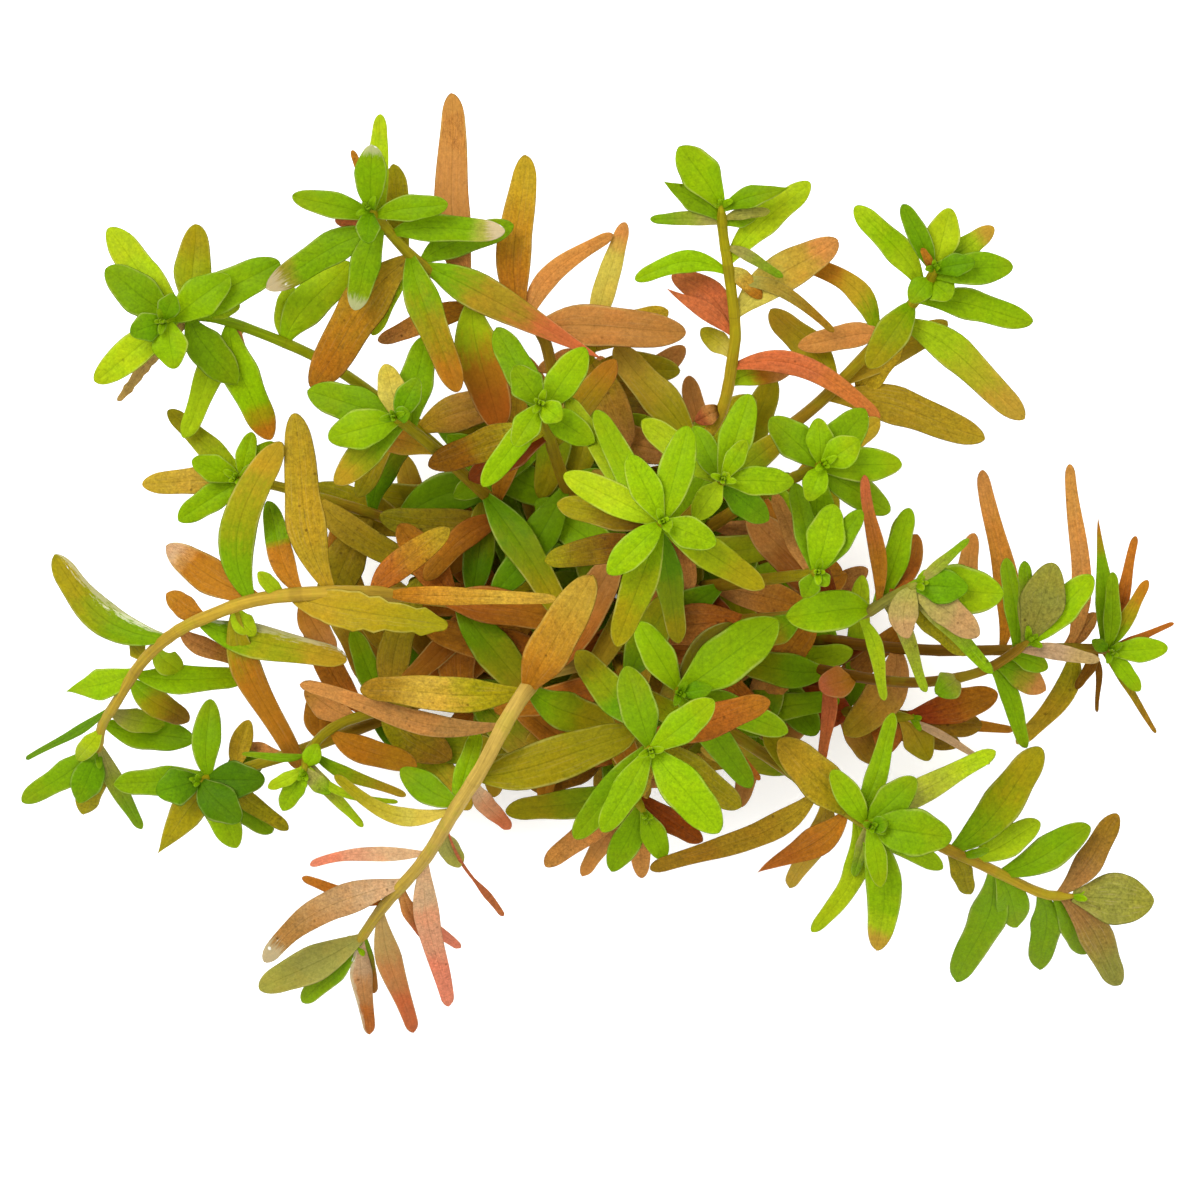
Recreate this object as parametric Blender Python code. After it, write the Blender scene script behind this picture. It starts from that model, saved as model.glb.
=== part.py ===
"""Ceylon rotala: a loose bunch of 25 cut shoots of an aquarium stem plant.

The bunch stands unheld. Its cut ends stand close together on the surface, the shoots splay out from
there like a fountain, and the outer ones arch over until their leaves touch the surface too. Every
shoot is one piece, a stem with the leaves that grew on it. The origin is on the surface under the
middle of the bunch, +Z is up, and +Y is the side that lies at the top when it is seen from above.
"""

import math

import bmesh
import bpy
from mathutils import Vector
from mathutils.bvhtree import BVHTree

MM = 0.001

# Places are read from above, in millimetres, as an eye at this height sees them.
EYE_HEIGHT = 1000.0
# The middle of the bunch's outline in those places, which becomes the origin.
MIDDLE_X = -0.65
MIDDLE_Y = 2.95

LEAF_THICKNESS = 0.45
LEAF_FOLD = 0.07
STEM_BEVEL_RESOLUTION = 1

# A stout leaf, about twice as long as wide, is an oval. A slender one, six times as long, is widest nearer
# to its root and tapers to a narrow blunt tip. Others lie between. These are how far along a leaf is
# widest, what share of its width it has lost by the tip, and what share it has at the root.
STOUT, SLENDER = 2.0, 6.0
WIDEST_STOUT, WIDEST_SLENDER = 0.52, 0.35
TAPER_STOUT, TAPER_SLENDER = 0.22, 0.52
ROOT_SHARE = 0.22
TIP_ROUNDING = 2.1
# How far along a leaf its sections are. Leaves narrower or shorter than these get the plainer form.
LEAF_SECTIONS = (0.3, 0.66, 0.91)
PLAIN_SECTIONS = (0.36, 0.83)
PLAIN_WIDTH = 2.4
PLAIN_LENGTH = 11.0
# A root starts this far from its stem's middle line, so that two roots never share a point.
ROOT_OFFSET = 0.12

# A leaf leaves its stem between its own line and the stem's, and its end droops a little.
LEAVES_WITH_STEM = 0.42
DROOP = 0.12
HANDLE = 0.36

# Two pieces keep at least about this gap, in millimetres.
GAP = 0.16
STEM_GAP = 0.3
STEM_ROUNDS = 120
# From here to the tip a leaf also keeps clear of its own shoot.
OUTER_PART = 0.35
# The leaves low on the stems, most of them hidden from above, are set by rule. They grow in pairs, each
# pair turned from the one above it, wherever the stem and the leaf's tip are within the bunch's thick
# middle, an oval on the surface as seen from above, and under a ceiling that comes down to its edge.
THICK_X, THICK_Y = 1.5, 0.5
THICK_HALF_X, THICK_HALF_Y = 31.0, 27.0
CEILING_MIDDLE, CEILING_EDGE = 36.0, 21.0
PAIR_STEP = 3.1
PAIR_TURN = 137.5
LOWEST_PAIR = 5.0
LOWER_LENGTH = (9.0, 15.0)
LOWER_WIDTH = (2.6, 4.2)

# Leaves shorter than these are past what this model holds. Their places are kept free all the same.
SHORTEST_LEAF = 5.0
SHORTEST_LOWER_LEAF = 14.6

# How far a leaf may be lifted, arched and swung until it lies clear of what is above it.
LIFTS = (0.0, -0.7, 0.7, -1.5, 1.5, -2.4, 2.4, -3.4, 3.4, -4.5, 4.5, -6.0, 6.0)
ARCHES = (0.0, -1.0, 1.0, -2.2, 2.2)
SWINGS = (0.0, -4.0, 4.0, -9.0, 9.0)

# Each shoot: its stem's thickness at the cut end and at the tip, its stem's route from the cut end as
# x, y, z, and its leaves. A leaf is given by how far back from the stem's tip it grows, where its own
# tip is seen (x, y), how far that tip rises above its root, and its width. Where they aren't 0, two
# more values follow: how far the leaf bends to its right, and how far it is turned on edge in degrees.
SHOOTS = {
    "shoot_north_west": {
        "thickness": (1.5, 0.95),
        "stem": [
            (-1.9, 4.2, 0), (-2.6, 9, 12), (-4, 18, 24), (-5.5, 25.9, 30), (-7.6, 27.7, 31.5),
            (-12.7, 30, 33.5), (-18.6, 34.2, 36), (-21.8, 37.7, 38.5), (-23.1, 39.1, 41),
        ],
        "leaves": [
            (0.6, -23.3, 35.7, 3, 2.4),
            (0.8, -22.8, 45.5, 3.5, 3.2),
            (1.5, -15.2, 39.6, 2, 2.6),
            (2, -30.8, 40.4, 1, 2.6),
            (2.8, -22, 48.6, -0.5, 2.2),
            (3, -24.8, 45, 0.5, 1.2),
            (3.2, -24.6, 29, -1.5, 3),
            (3.5, -26.5, 38, -1.5, 1.8),
            (4, -33.4, 31.2, -2.5, 3.3),
            (4.6, -9.5, 36.9, 1, 2.8),
            (7, -20.6, 43.6, -2, 2.6),
            (7.5, -14.2, 20.8, 2.5, 3.4),
            (8, -28.8, 21.2, -6, 4.6),
            (8, -22.8, 26.5, -4, 2.2),
            (9, -8.7, 37.6, -3, 3),
            (9.5, 0.4, 24, -1, 3.7),
            (15, -14.8, 50.7, -2.5, 3.7),
            (15.5, -10, 17, -3, 4.6),
            (17, -22.2, 25.9, -5, 2.4),
            (21, -7.4, 44.5, -4, 3.6),
            (21.5, 1.3, 36.6, -4, 2.2, -1.2),
            (22.5, 8.6, 26.8, -2.5, 4.2),
        ],
    },
    "shoot_west_upper": {
        "thickness": (1.4, 0.9),
        "stem": [
            (-4, 3.2, 0), (-8, 7, 10), (-15, 14, 19), (-22, 20, 23.5), (-28.1, 24.1, 26.5),
            (-34.8, 27, 29), (-39.1, 28.3, 31), (-42, 28.2, 33), (-43.7, 27.9, 36),
        ],
        "leaves": [
            (0.3, -42.6, 30.6, 2, 2.4),
            (0.8, -47, 26.7, 1.5, 3),
            (1.2, -42.6, 23.1, 0.5, 3.6),
            (2, -37, 32.4, 1.5, 4),
            (2.5, -49.4, 33.2, 0.5, 4),
            (3, -50.5, 21.8, -2, 3.4),
            (3.5, -32, 33.8, 1, 4),
            (4, -49.2, 37.2, -1, 3.6),
            (4.5, -36.4, 21.6, -3, 3.8),
            (4.8, -48.2, 19.9, -6, 1.8),
            (5.5, -40.4, 37.6, -1.5, 3.6),
            (6.5, -36, 29.5, 0, 1.6),
            (9, -33, 16, -4, 3.6),
            (10, -33.8, 16.6, -5, 2),
            (10.5, -41.6, 16.2, -5, 2.8),
            (15, -25, 33.8, 0.5, 4),
            (15.5, -31, 31.6, 0.5, 2.4),
        ],
    },
    "shoot_west_small": {
        "thickness": (1.4, 0.9),
        "stem": [
            (-4.9, 0.8, 0), (-12, 3.8, 9), (-21, 8, 16), (-30, 10.8, 20), (-35, 12, 22.5),
            (-36.4, 12.2, 25),
        ],
        "leaves": [
            (0.6, -33.4, 12.8, 1.5, 2.4),
            (1, -40.8, 14, 1.5, 2.8),
            (1.2, -34.8, 16.8, 1, 2),
            (1.5, -32.6, 15.8, 0, 2.4),
            (2, -42.2, 8, -1.5, 2.8),
            (2.5, -43.2, 19, -1, 2.4),
            (3, -45.8, 11.6, -2, 2.8),
        ],
    },
    "shoot_north_west_inner": {
        "thickness": (1.6, 1),
        "stem": [
            (-2, 1.1, 0), (-5.5, 5, 15), (-12, 11, 29), (-17, 15.5, 37), (-19.8, 17.8, 41),
            (-20.6, 18.3, 44),
        ],
        "leaves": [
            (0.4, -19, 18.8, 1.5, 1.8),
            (1.5, -18.2, 22.2, 1, 2.6),
            (2, -27.2, 16.2, 0, 4),
            (3, -21.5, 23.6, -1, 2.8),
            (3.5, -26.5, 11.6, -2, 3.2),
            (4, -29.2, 21, -2, 3.8),
            (5, -17.4, 26.4, -3, 3.4),
            (10, -25.2, 17.2, -7, 3),
        ],
    },
    "shoot_north_inner": {
        "thickness": (1.6, 1),
        "stem": [
            (0.2, 2.4, 0), (-1.4, 6.5, 17), (-4, 13, 33), (-5.6, 18.2, 44), (-6, 19.7, 50),
        ],
        "leaves": [
            (0.5, -3.8, 18, 1, 2.6),
            (0.8, -8.6, 23.4, 1, 3.4),
            (1, -8.6, 15.4, 1, 2.8),
            (3, -0.6, 15.7, 0, 3),
            (3.5, -11.8, 11.4, -1.5, 2.6),
            (4, -1.4, 25.2, -1, 3.4),
            (4.5, -10.4, 27.2, -2, 3.2),
            (9, -17.2, 13.5, -5, 3.4),
            (10, -13, 12, -9, 3.2),
            (13, 1.6, 24, -6, 3),
        ],
    },
    "shoot_centre": {
        "thickness": (1.7, 1.1),
        "stem": [
            (0.3, 0, 0), (1.6, 2, 20), (4.4, 5.4, 42), (6, 7.5, 55), (6.3, 7.9, 60),
        ],
        "leaves": [
            (0.2, 7.2, 7.2, 0.8, 1.2),
            (1.2, 2.9, 14.5, 1, 3.1),
            (1.3, 11.6, 5.6, 0.5, 3.2),
            (1.6, 8.8, 17.4, 0.5, 3.5),
            (1.8, 0.8, 2.6, 0, 3.1),
            (2.5, -3.6, 12.6, -1, 3.2),
            (3.5, 16.4, 1.2, -3, 3.2),
            (4, 1.6, -4.6, -4, 3.4),
            (4.5, -4.3, 9.6, -4, 3),
            (7, 7.9, -4.3, -9, 2.9),
            (9, -3.4, 20.3, -6, 2.8),
            (9.3, -0.4, 19, -5, 3),
            (16, -5.5, 4, -9, 3),
        ],
    },
    "shoot_centre_east": {
        "thickness": (1.6, 1),
        "stem": [
            (2.5, 1.3, 0), (4.6, 4, 20), (9.4, 9, 40), (11.8, 11.6, 51), (12.3, 12.1, 56),
        ],
        "leaves": [
            (0.2, 13, 12.6, 0.8, 1.2),
            (0.8, 14.6, 16, 1, 2),
            (1.5, 19.4, 11.8, 0, 2.9),
            (1.6, 9.4, 8, 0, 2.7),
            (1.8, 15, 20.6, 0.5, 3.3),
            (2.6, 9.4, 17.4, -1.5, 2.6),
            (3.4, 4.2, 18, -2, 3),
            (3.6, 16.8, 7.9, -3, 3),
            (12, 18.5, 16.5, -6, 3),
        ],
    },
    "shoot_north_east_inner": {
        "thickness": (1.6, 1),
        "stem": [
            (4.6, 2.6, 0), (8, 5.4, 17), (16, 10.4, 34), (21, 13, 45), (22.4, 13.6, 50),
        ],
        "leaves": [
            (0.8, 26, 16, 0.8, 3.4),
            (0.8, 20.8, 9.9, 0.8, 2.6),
            (1.2, 21.8, 18.2, 0.5, 2.8),
            (1.8, 17, 18.2, 0, 3.6),
            (2.4, 30.2, 13.6, -1, 3.4),
            (2.8, 26.6, 19, -1, 3.8),
            (3, 21.4, 4, -3, 3.4),
            (3.2, 29, 8.8, -3, 3.2),
            (9, 28, 18, -6, 3),
        ],
    },
    "shoot_east_inner": {
        "thickness": (1.6, 1),
        "stem": [
            (5, 0.2, 0), (8.2, 1, 17), (16, 2, 34), (20.8, 2.6, 45), (21.8, 2.8, 50),
        ],
        "leaves": [
            (0.4, 22.8, 1.4, 0.5, 1.6),
            (1.2, 26.2, 9, 0.5, 2.4),
            (1.3, 23.4, 9.6, 0.8, 3.8),
            (1.5, 20.4, 0.2, -1, 2.2),
            (2, 19.5, 11.7, -1, 2.4),
            (5, 17.4, 10.7, -3, 1.9),
        ],
    },
    "shoot_east": {
        "thickness": (1.6, 1),
        "stem": [
            (4.9, -2.2, 0), (8.5, -2.2, 14), (15, -2, 29), (20, -1.6, 35), (26, -1.4, 38.5),
            (28.5, -0.1, 40), (31.9, 1.7, 43),
        ],
        "leaves": [
            (0.8, 30.9, -3.8, -0.5, 3, 1.2),
            (0.9, 36.9, 6.1, 1, 1.2),
            (1, 36.8, 1.2, 0.5, 3.6),
            (1.5, 37.9, -3.6, 0.5, 3.1),
            (2, 40.4, 0.6, -0.5, 5),
            (2.2, 39.3, -7.3, -3, 2),
            (3.5, 37, -5.4, -5, 2.8),
            (4, 31.8, 6.5, -4, 2.6),
            (5, 32.6, -9.2, -7, 1.6),
            (5.5, 30.4, 8.6, 1, 2.4),
            (5.5, 26.5, 12.5, 9, 1.7, -0.6),
            (6, 31, 9.2, 2.5, 2.6),
            (6.5, 18.6, -1.7, 3, 4.1),
            (8, 28.5, -10, -8, 1.6),
            (10.5, 13.3, 7.2, 4, 4.2),
            (14.5, 15.6, -4.3, 0.5, 2.8),
        ],
    },
    "shoot_east_low": {
        "thickness": (1.5, 0.9),
        "stem": [
            (7.3, -2.4, 0), (13, -5, 12), (22, -7, 20), (30, -8.2, 23.5), (35, -7.9, 25),
            (38.2, -7.1, 26), (40.3, -6, 27), (43, -4, 29.5),
        ],
        "leaves": [
            (0.8, 45.4, 3.7, 2, 4.4),
            (1, 42.5, 3.9, 2, 1.9),
            (1.2, 49.3, 2.4, 1, 3.4),
            (2, 50, -6, 1, 1.7),
            (2.2, 40.6, 4.2, -1, 2.2),
            (3.2, 44.8, -6.8, -1, 2.2),
            (5, 44.5, -9.1, -2, 2.9),
            (5.5, 42.6, -14.8, -4, 2),
            (9, 33.6, -9.4, 2, 3),
            (20, 21.9, -8.8, 5, 3.2),
            (23, 22.2, -16.4, 2, 1.6),
        ],
    },
    "shoot_east_far": {
        "thickness": (1.5, 0.9),
        "stem": [
            (7.4, 0.2, 0), (14, -2.4, 9), (24, -4.2, 15), (33, -5, 17.5), (40, -5, 19), (46, -4.8, 20),
            (50, -4.9, 21), (51.1, -5.2, 23),
        ],
        "leaves": [
            (0.5, 49.2, -4, 0.5, 1.4),
            (0.8, 51.3, 2.8, 2.5, 1.8),
            (0.9, 56.8, -4.8, 0.5, 2.5),
            (1, 54, -9.1, -1, 1.8),
            (1.4, 54.8, 2, 1.5, 1.6),
            (1.5, 57.4, -2.3, -1, 0.9),
            (1.6, 49.8, 8.3, 2, 2),
            (2.2, 55.6, -13.3, -4, 0.9),
            (2.4, 53.6, 6.4, 1, 1.5),
            (2.6, 47.6, -8.9, -2, 1.2),
            (3, 49.7, -11.2, -4, 0.7),
            (5, 41.7, -14.4, -7, 2.4, -1),
            (5.3, 47, 13.6, -1, 2.1),
            (6, 49.6, -1.3, -0.5, 1.8),
            (12, 38.2, 13, -2, 2.5),
            (18, 37.4, 6.7, -1, 2.6),
        ],
    },
    "shoot_south_east": {
        "thickness": (1.7, 0.9),
        "stem": [
            (4, -5.4, 0), (10.5, -9.4, 13), (19, -15, 21), (27, -20.5, 23.5), (33.1, -24.1, 23),
            (38.2, -26.5, 20.5), (43.8, -29.2, 17), (46, -29.6, 16), (47.6, -29.6, 15.5),
        ],
        "leaves": [
            (0.5, 55.4, -30.2, -2, 5.4),
            (1.5, 52, -38.5, -8, 3.4),
            (2, 51.8, -21.4, 0, 2.8),
            (2.4, 48.6, -35.4, -8, 3.2),
            (4, 43.9, -36.9, -10, 3.2),
            (9, 49, -22.6, -1, 3.5),
            (9.4, 41.8, -32.6, -7, 3.4),
            (10, 35.6, -38.1, -14, 3.8),
            (13, 44, -22.2, -2, 3),
            (14, 38.9, -25, 3, 1),
            (15, 44.2, -14.8, 2, 4),
            (15.5, 37, -29.4, -5, 2.2),
        ],
    },
    "shoot_south_east_inner": {
        "thickness": (1.6, 1),
        "stem": [
            (1.6, -5, 0), (6, -8.6, 15), (15, -14.5, 26), (23, -20, 30.5), (26.2, -22.2, 32.5),
            (27.2, -22.7, 35.5),
        ],
        "leaves": [
            (0.3, 28.8, -22.2, 1, 1.8),
            (1, 28.1, -28.7, -1, 2.2),
            (1.5, 35.2, -23.8, 1, 4.8),
            (1.8, 25.4, -27.6, -4, 1.4),
            (2, 23.2, -17, 1, 2.6),
            (2.2, 31.6, -17.8, 0.5, 3.4),
            (2.6, 27.6, -35, -6, 3.6, -1.5),
            (3, 34.3, -26.8, -4, 2.4),
            (4, 21.2, -33.2, -6, 2.4, -1.5),
            (4.2, 29.4, -11.3, -2, 2.2),
            (4.6, 17.9, -13.9, 1, 4.2),
            (5, 39.6, -15.2, -4, 2.8),
            (5.2, 15.7, -27.3, -9, 3),
            (6.5, 16.4, -13.4, -1, 3),
            (8, 18.9, -28.7, -14, 2.6),
            (9, 5, -26.9, -9, 2.6, -0.5),
        ],
    },
    "shoot_north_east": {
        "thickness": (1.6, 1),
        "stem": [
            (2.7, 4.2, 0), (8, 8.5, 13), (16, 15, 24), (22.1, 19.9, 28), (27, 25, 31), (31.3, 29.7, 34),
            (32.9, 31.8, 36), (33.5, 33.2, 38.5),
        ],
        "leaves": [
            (0.5, 37.5, 33.8, 1.5, 2.3),
            (1, 30.3, 39.6, 3, 2.2),
            (1, 32.2, 35.2, 2.5, 0.9),
            (1.2, 35, 39.2, 1, 3.4),
            (1.6, 41.3, 33.4, 0, 3.3),
            (1.8, 39.4, 37.3, -1, 2.4),
            (2, 31, 29.8, 0.5, 2.6),
            (2.5, 35.2, 30.2, 1, 3.2),
            (4, 25.5, 39.4, 2, 2.8),
            (5.5, 43.3, 27.8, -1, 3.1),
            (6, 26.8, 23.2, 1.5, 3.4),
            (11.6, 19, 34, 1, 2.3, 2.2),
            (8.3, 26, 20.4, -5, 3.4),
            (8.5, 42.5, 18.2, -3, 3.5),
            (10.5, 19.8, 25.4, -2, 2.6),
            (18, 17, 29, -3, 3.2),
            (18, 34.8, 27.8, -1, 3),
            (19.5, 38.5, 16.2, -4, 3.8),
        ],
    },
    "shoot_north": {
        "thickness": (1.5, 0.95),
        "stem": [
            (0.4, 4.8, 0), (4, 9, 14), (9, 14.5, 25), (12.1, 18.8, 29.5), (13.3, 24.5, 33),
            (13.5, 27.6, 34.5), (12.9, 32.7, 36.5), (12.3, 36.7, 38.5), (12.1, 39.6, 41),
        ],
        "leaves": [
            (0.5, 8, 45.4, 3, 3.9),
            (0.8, 19, 41.3, 2, 2.2),
            (2, 6.3, 41.9, 1.5, 2.6),
            (2, 17, 38.9, 1, 1.2),
            (2.5, 5, 38.1, 1, 1.5),
            (2.6, 15.6, 38.4, -0.5, 1.8),
            (5.2, 18.3, 32.3, -1, 1.2),
            (7, 21, 41.8, 2, 3),
            (7.4, 16.2, 30.2, -1.5, 1.7),
            (8, 3.5, 32, 0, 2.2, 1.2),
            (9, 23.4, 26.8, -2, 1.4, -1.2),
            (14.4, 7.2, 32.5, -1.5, 3, 1),
            (12.5, 23.8, 36, 0, 3.9),
            (14.6, 6.6, 31.2, 0.5, 1.8),
            (17, 10.1, 27.1, -2, 2.2),
            (18, 28, 18.2, 2, 2.4, -2),
            (20, 19.5, 23.5, -3, 2.8),
            (23, 9.6, 17.8, -2, 2),
        ],
    },
    "shoot_north_bare": {
        "thickness": (1.5, 1.1),
        "stem": [
            (-1, 6.8, 0), (-1.4, 12, 11), (-1.4, 19, 19), (-1.1, 24.2, 24), (-0.8, 27, 27),
        ],
        "leaves": [
            (1.5, 2.5, 37.8, 1, 2.4),
            (3, 6.8, 29, -1, 3),
            (3.2, -6.2, 23, -2, 1.8),
            (6, 8, 23, -2, 3.2),
            (9, -4.5, 24.5, -5, 3),
            (12, 6, 19.5, -5, 3.2),
        ],
    },
    "shoot_west_arching": {
        "thickness": (1.9, 0.9),
        "stem": [
            (-4.6, -1.6, 0), (-8.5, -1, 14), (-15, 0, 26), (-21, 0.6, 32), (-28, 0.7, 34.5),
            (-34.5, 0, 34), (-39.6, -1.8, 31), (-42.7, -3.4, 28.5), (-45.7, -6.1, 24.5),
            (-48.6, -10.6, 18.5), (-49.8, -12.6, 15), (-50.2, -15.4, 11),
        ],
        "leaves": [
            (0.5, -52.2, -20.2, -3, 3.4),
            (1, -51.6, -21.4, -7, 3),
            (1.5, -57.8, -20.2, -8, 2.8),
            (1.8, -45.9, -22.9, -9, 2),
            (4.5, -52.3, -16, -5, 2),
            (5.5, -40.6, -14, -3, 3.3),
            (8, -43.6, -12.6, -5, 2.4),
            (9.5, -57.4, -15.9, -13, 1),
            (14, -41.2, -12.2, -8, 2.8),
            (15, -35.4, -7.8, -4, 2.9),
            (15.5, -53.4, -9.2, -7, 3.2),
            (18, -46.9, -4.2, -2, 1.8),
            (20, -42, -7.2, -6, 2.6),
            (22, -54.6, 4.5, -4, 3.5, -2),
            (24, -35.9, -6.2, -7, 2),
            (26.5, -25.3, -6, -2, 3.4),
            (27.5, -43.3, 0.7, -4, 2.4),
            (31, -34.6, -3.6, -3, 2.2),
            (31, -30, -16.9, -13, 3),
            (33, -31.8, 15.8, 3, 3.8, -2.5),
            (34, -43.4, 5.3, -5, 3.6),
            (36.5, -34.2, 2.8, 1, 1.6),
            (37, -15.2, -2.6, 2, 4.2),
            (38, -33.2, 9.9, -3, 2.6),
            (38.5, -26.8, -5.6, -7, 2.8),
            (41, -30.6, 18.7, 2, 3.9),
            (45, -15.1, 7.2, -1, 2.9),
            (46.5, -4.3, 0.1, 5, 1.9),
        ],
    },
    "shoot_south_west": {
        "thickness": (1.6, 1),
        "stem": [
            (-5.6, -4, 0), (-12.5, -7.5, 9), (-22, -12, 14), (-31, -15.4, 16), (-37.5, -17.4, 17.5),
            (-40.2, -18.1, 20),
        ],
        "leaves": [
            (0.4, -36, -22.2, 1, 4),
            (0.6, -44.4, -19.2, 1, 3.9),
            (1.2, -33.5, -18, 0.5, 3.8),
            (1.5, -39, -9.9, 0.5, 2.9),
            (2, -36.4, -24.8, -4, 3.2),
            (2.4, -48.6, -18.4, -3, 3),
            (2.6, -32.8, -23.3, -5, 3),
            (3, -44.3, -25.4, -6, 3.4),
            (3.2, -31.2, -23, -4, 2),
            (3.6, -33.6, -15.8, -2, 3.4),
            (5, -35.2, -12, -3, 2.2),
            (10, -36.8, -15.2, -3, 2.6),
            (14, -28, -8.6, -3, 3),
        ],
    },
    "shoot_south_west_inner": {
        "thickness": (1.5, 0.9),
        "stem": [
            (-3.3, -4.4, 0), (-10, -7, 12), (-19, -10.2, 19), (-26, -12.4, 21.5), (-29, -15, 23),
            (-29.6, -17.4, 25),
        ],
        "leaves": [
            (0.8, -27, -19.4, 0, 1.8),
            (1, -33.2, -18.8, -1, 1.4),
            (1, -28.2, -14.4, 0.5, 2),
            (1.2, -20.2, -20.2, -0.5, 0.9, 1),
            (1.5, -31.8, -21, -2, 2.2),
            (2, -23.7, -22.7, -3, 1.4),
            (2.5, -35.8, -15.4, -1, 0.9),
            (3, -19.4, -19.6, -2, 1.4),
            (6, -18.3, -16.6, -3, 2.8),
            (9, -29.5, -9, -3, 3),
            (12, -15, -16, -4, 4.2),
            (13, -24.8, -3, 0, 2.6),
        ],
    },
    "shoot_south_south_west": {
        "thickness": (2.1, 1),
        "stem": [
            (-0.9, -4.8, 0), (-2.6, -6, 16), (-4.8, -7, 30), (-6.8, -8.3, 37), (-9.2, -11.8, 39.5),
            (-11.9, -16.9, 38), (-14.6, -21.1, 34), (-17.2, -25.4, 28.5), (-19.4, -28.1, 24),
            (-21.8, -30.8, 19), (-24.2, -34.3, 12.5),
        ],
        "leaves": [
            (0.6, -29.8, -40.2, -8, 2.7),
            (1.2, -23, -43.4, -11, 2.2),
            (1.5, -34.1, -38.9, -8, 3.7),
            (2, -22.6, -39.3, -8, 1.8),
            (7.5, -18.6, -43.2, -14, 2.6),
            (9, -29.8, -27.8, -6, 1.5),
            (12, -14, -34.8, -13, 1.6),
            (13, -16.8, -34.9, -9, 1.5),
            (14, -33.6, -36.2, -12, 3.2, 2.5),
            (19, -15.1, -40.6, -19, 2.6),
            (20, -29, -26.5, -6, 1.5, 1.2),
            (24, -14, -26.7, -5, 2.2),
            (25, -9.7, -31.6, -14, 1.2),
            (27.5, -26.5, -17.5, -7, 1.8, -2),
            (28, -12.2, -13, -1, 2.2),
            (28.5, -20, -17, -2, 3),
            (32, -9, -22.9, -9, 2),
            (32.5, 3.7, -13.2, -1, 4.6),
            (38.5, -30, -8.4, -8, 2.3),
            (43, -0.8, 2.5, 8, 4.4),
            (43, -24, -9, -1, 3.6, 0.5),
            (43.5, 1.4, -12.8, -5, 3.8),
        ],
    },
    "shoot_south": {
        "thickness": (1.6, 1),
        "stem": [
            (0.4, -2.4, 0), (1.4, -5, 18), (3.4, -10, 35), (4.8, -14.2, 46), (5.1, -15.1, 50),
        ],
        "leaves": [
            (0.8, 11.4, -10, 0.5, 3.3),
            (1.2, 2.6, -6.6, 0.5, 3.7),
            (1.3, 0.2, -23.2, 0, 3),
            (1.5, 12, -23.2, 0, 4.2),
            (2.8, -2.6, -23.8, -3, 3.2),
            (3, 4.2, -19.6, -3, 1.6),
            (5.5, 17, -10.1, -2, 3.4),
            (6, 14, -20.8, -6, 3.4),
            (8, -2.4, -5.2, -7, 3.4),
        ],
    },
    "shoot_centre_south": {
        "thickness": (1.6, 1),
        "stem": [
            (2.5, -1.2, 0), (4.2, -3.4, 16), (6.2, -6.4, 31), (7.8, -8.8, 40), (8, -9.3, 44),
        ],
        "leaves": [
            (0.3, 11.2, -8.8, 0.5, 1.8),
            (1, 17.8, -2, -1, 5),
            (2, 3.8, -2.2, 0.5, 3.2),
            (3, 13.5, -2.4, 2, 4.2),
            (3.5, 18.8, -13.2, -4, 3.2),
            (7, 15.2, -18.7, -6, 3.2),
            (8, 16, -18, -8, 1.4),
            (10, 16, -12.5, -6, 3.2),
        ],
    },
    "shoot_south_low": {
        "thickness": (1.5, 0.9),
        "stem": [
            (-1.8, -1.6, 0), (-1.6, -7, 10), (0.6, -14, 17), (3.4, -19.5, 20.5), (4.6, -21.5, 22),
        ],
        "leaves": [
            (1, 6.4, -26, -1, 2.6),
            (1.5, 1.1, -27.1, -3, 3),
            (3, 4.2, -27.8, -6, 2.4),
            (3.2, 10.2, -24.2, -3, 2.4),
            (4.2, -5.5, -26.6, -6, 2.8),
            (4.6, -1.7, -27.6, -8, 2.4),
            (5, -1.4, -20.6, 1, 1.2),
            (9, -6.8, -19, -3, 3),
        ],
    },
    "shoot_east_south": {
        "thickness": (1.5, 1.1),
        "stem": [
            (6.3, -4.7, 0), (13, -8.2, 8), (22, -10.8, 13), (31.5, -11.8, 15.5),
        ],
        "leaves": [
            (1, 39.8, -9.4, 2, 3.4),
            (1.4, 39, -16.4, 3, 0.9),
            (1.5, 33, -16, 0, 3.2),
            (2, 38.2, -12.6, -1, 3.2),
            (2.5, 27, -10, 1.5, 3.4),
            (3, 28.5, -15.5, 0, 3.2),
            (3.5, 41.4, -13, -4, 1.6),
            (6, 36, -14.5, -2, 3),
            (6.5, 17.6, -10.4, -1, 4.6),
            (7, 20.2, -5.8, -1, 3),
            (8, 28, -16.5, -2, 3.2),
            (8.5, 26.5, -6.5, -1, 3.2),
            (9.5, 17.4, -6.2, 0, 3.2),
        ],
    },
}

COLOURS = {
    "green": (0.24, 0.42, 0.01),
    "dark_green": (0.12, 0.25, 0.01),
    "olive": (0.30, 0.27, 0.02),
    "ochre": (0.45, 0.27, 0.05),
    "pink_brown": (0.45, 0.18, 0.09),
    "red_brown": (0.35, 0.08, 0.03),
}

GREEN_SHOOTS = "green"
OTHER_SHOOTS = {
    "shoot_south_west": "dark_green",
    "shoot_north_bare": "ochre",
    "shoot_west_arching": "olive",
    "shoot_south_south_west": "pink_brown",
    "shoot_south_low": "ochre",
    "shoot_east_south": "red_brown",
}


def clear_scene():
    for old in list(bpy.data.objects):
        bpy.data.objects.remove(old, do_unlink=True)


def seen(x, y, z):
    """The real place of what the eye above sees at x, y, when it is z above the surface."""
    nearer = 1 - z / EYE_HEIGHT
    return Vector((x * nearer - MIDDLE_X, y * nearer - MIDDLE_Y, z))


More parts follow.
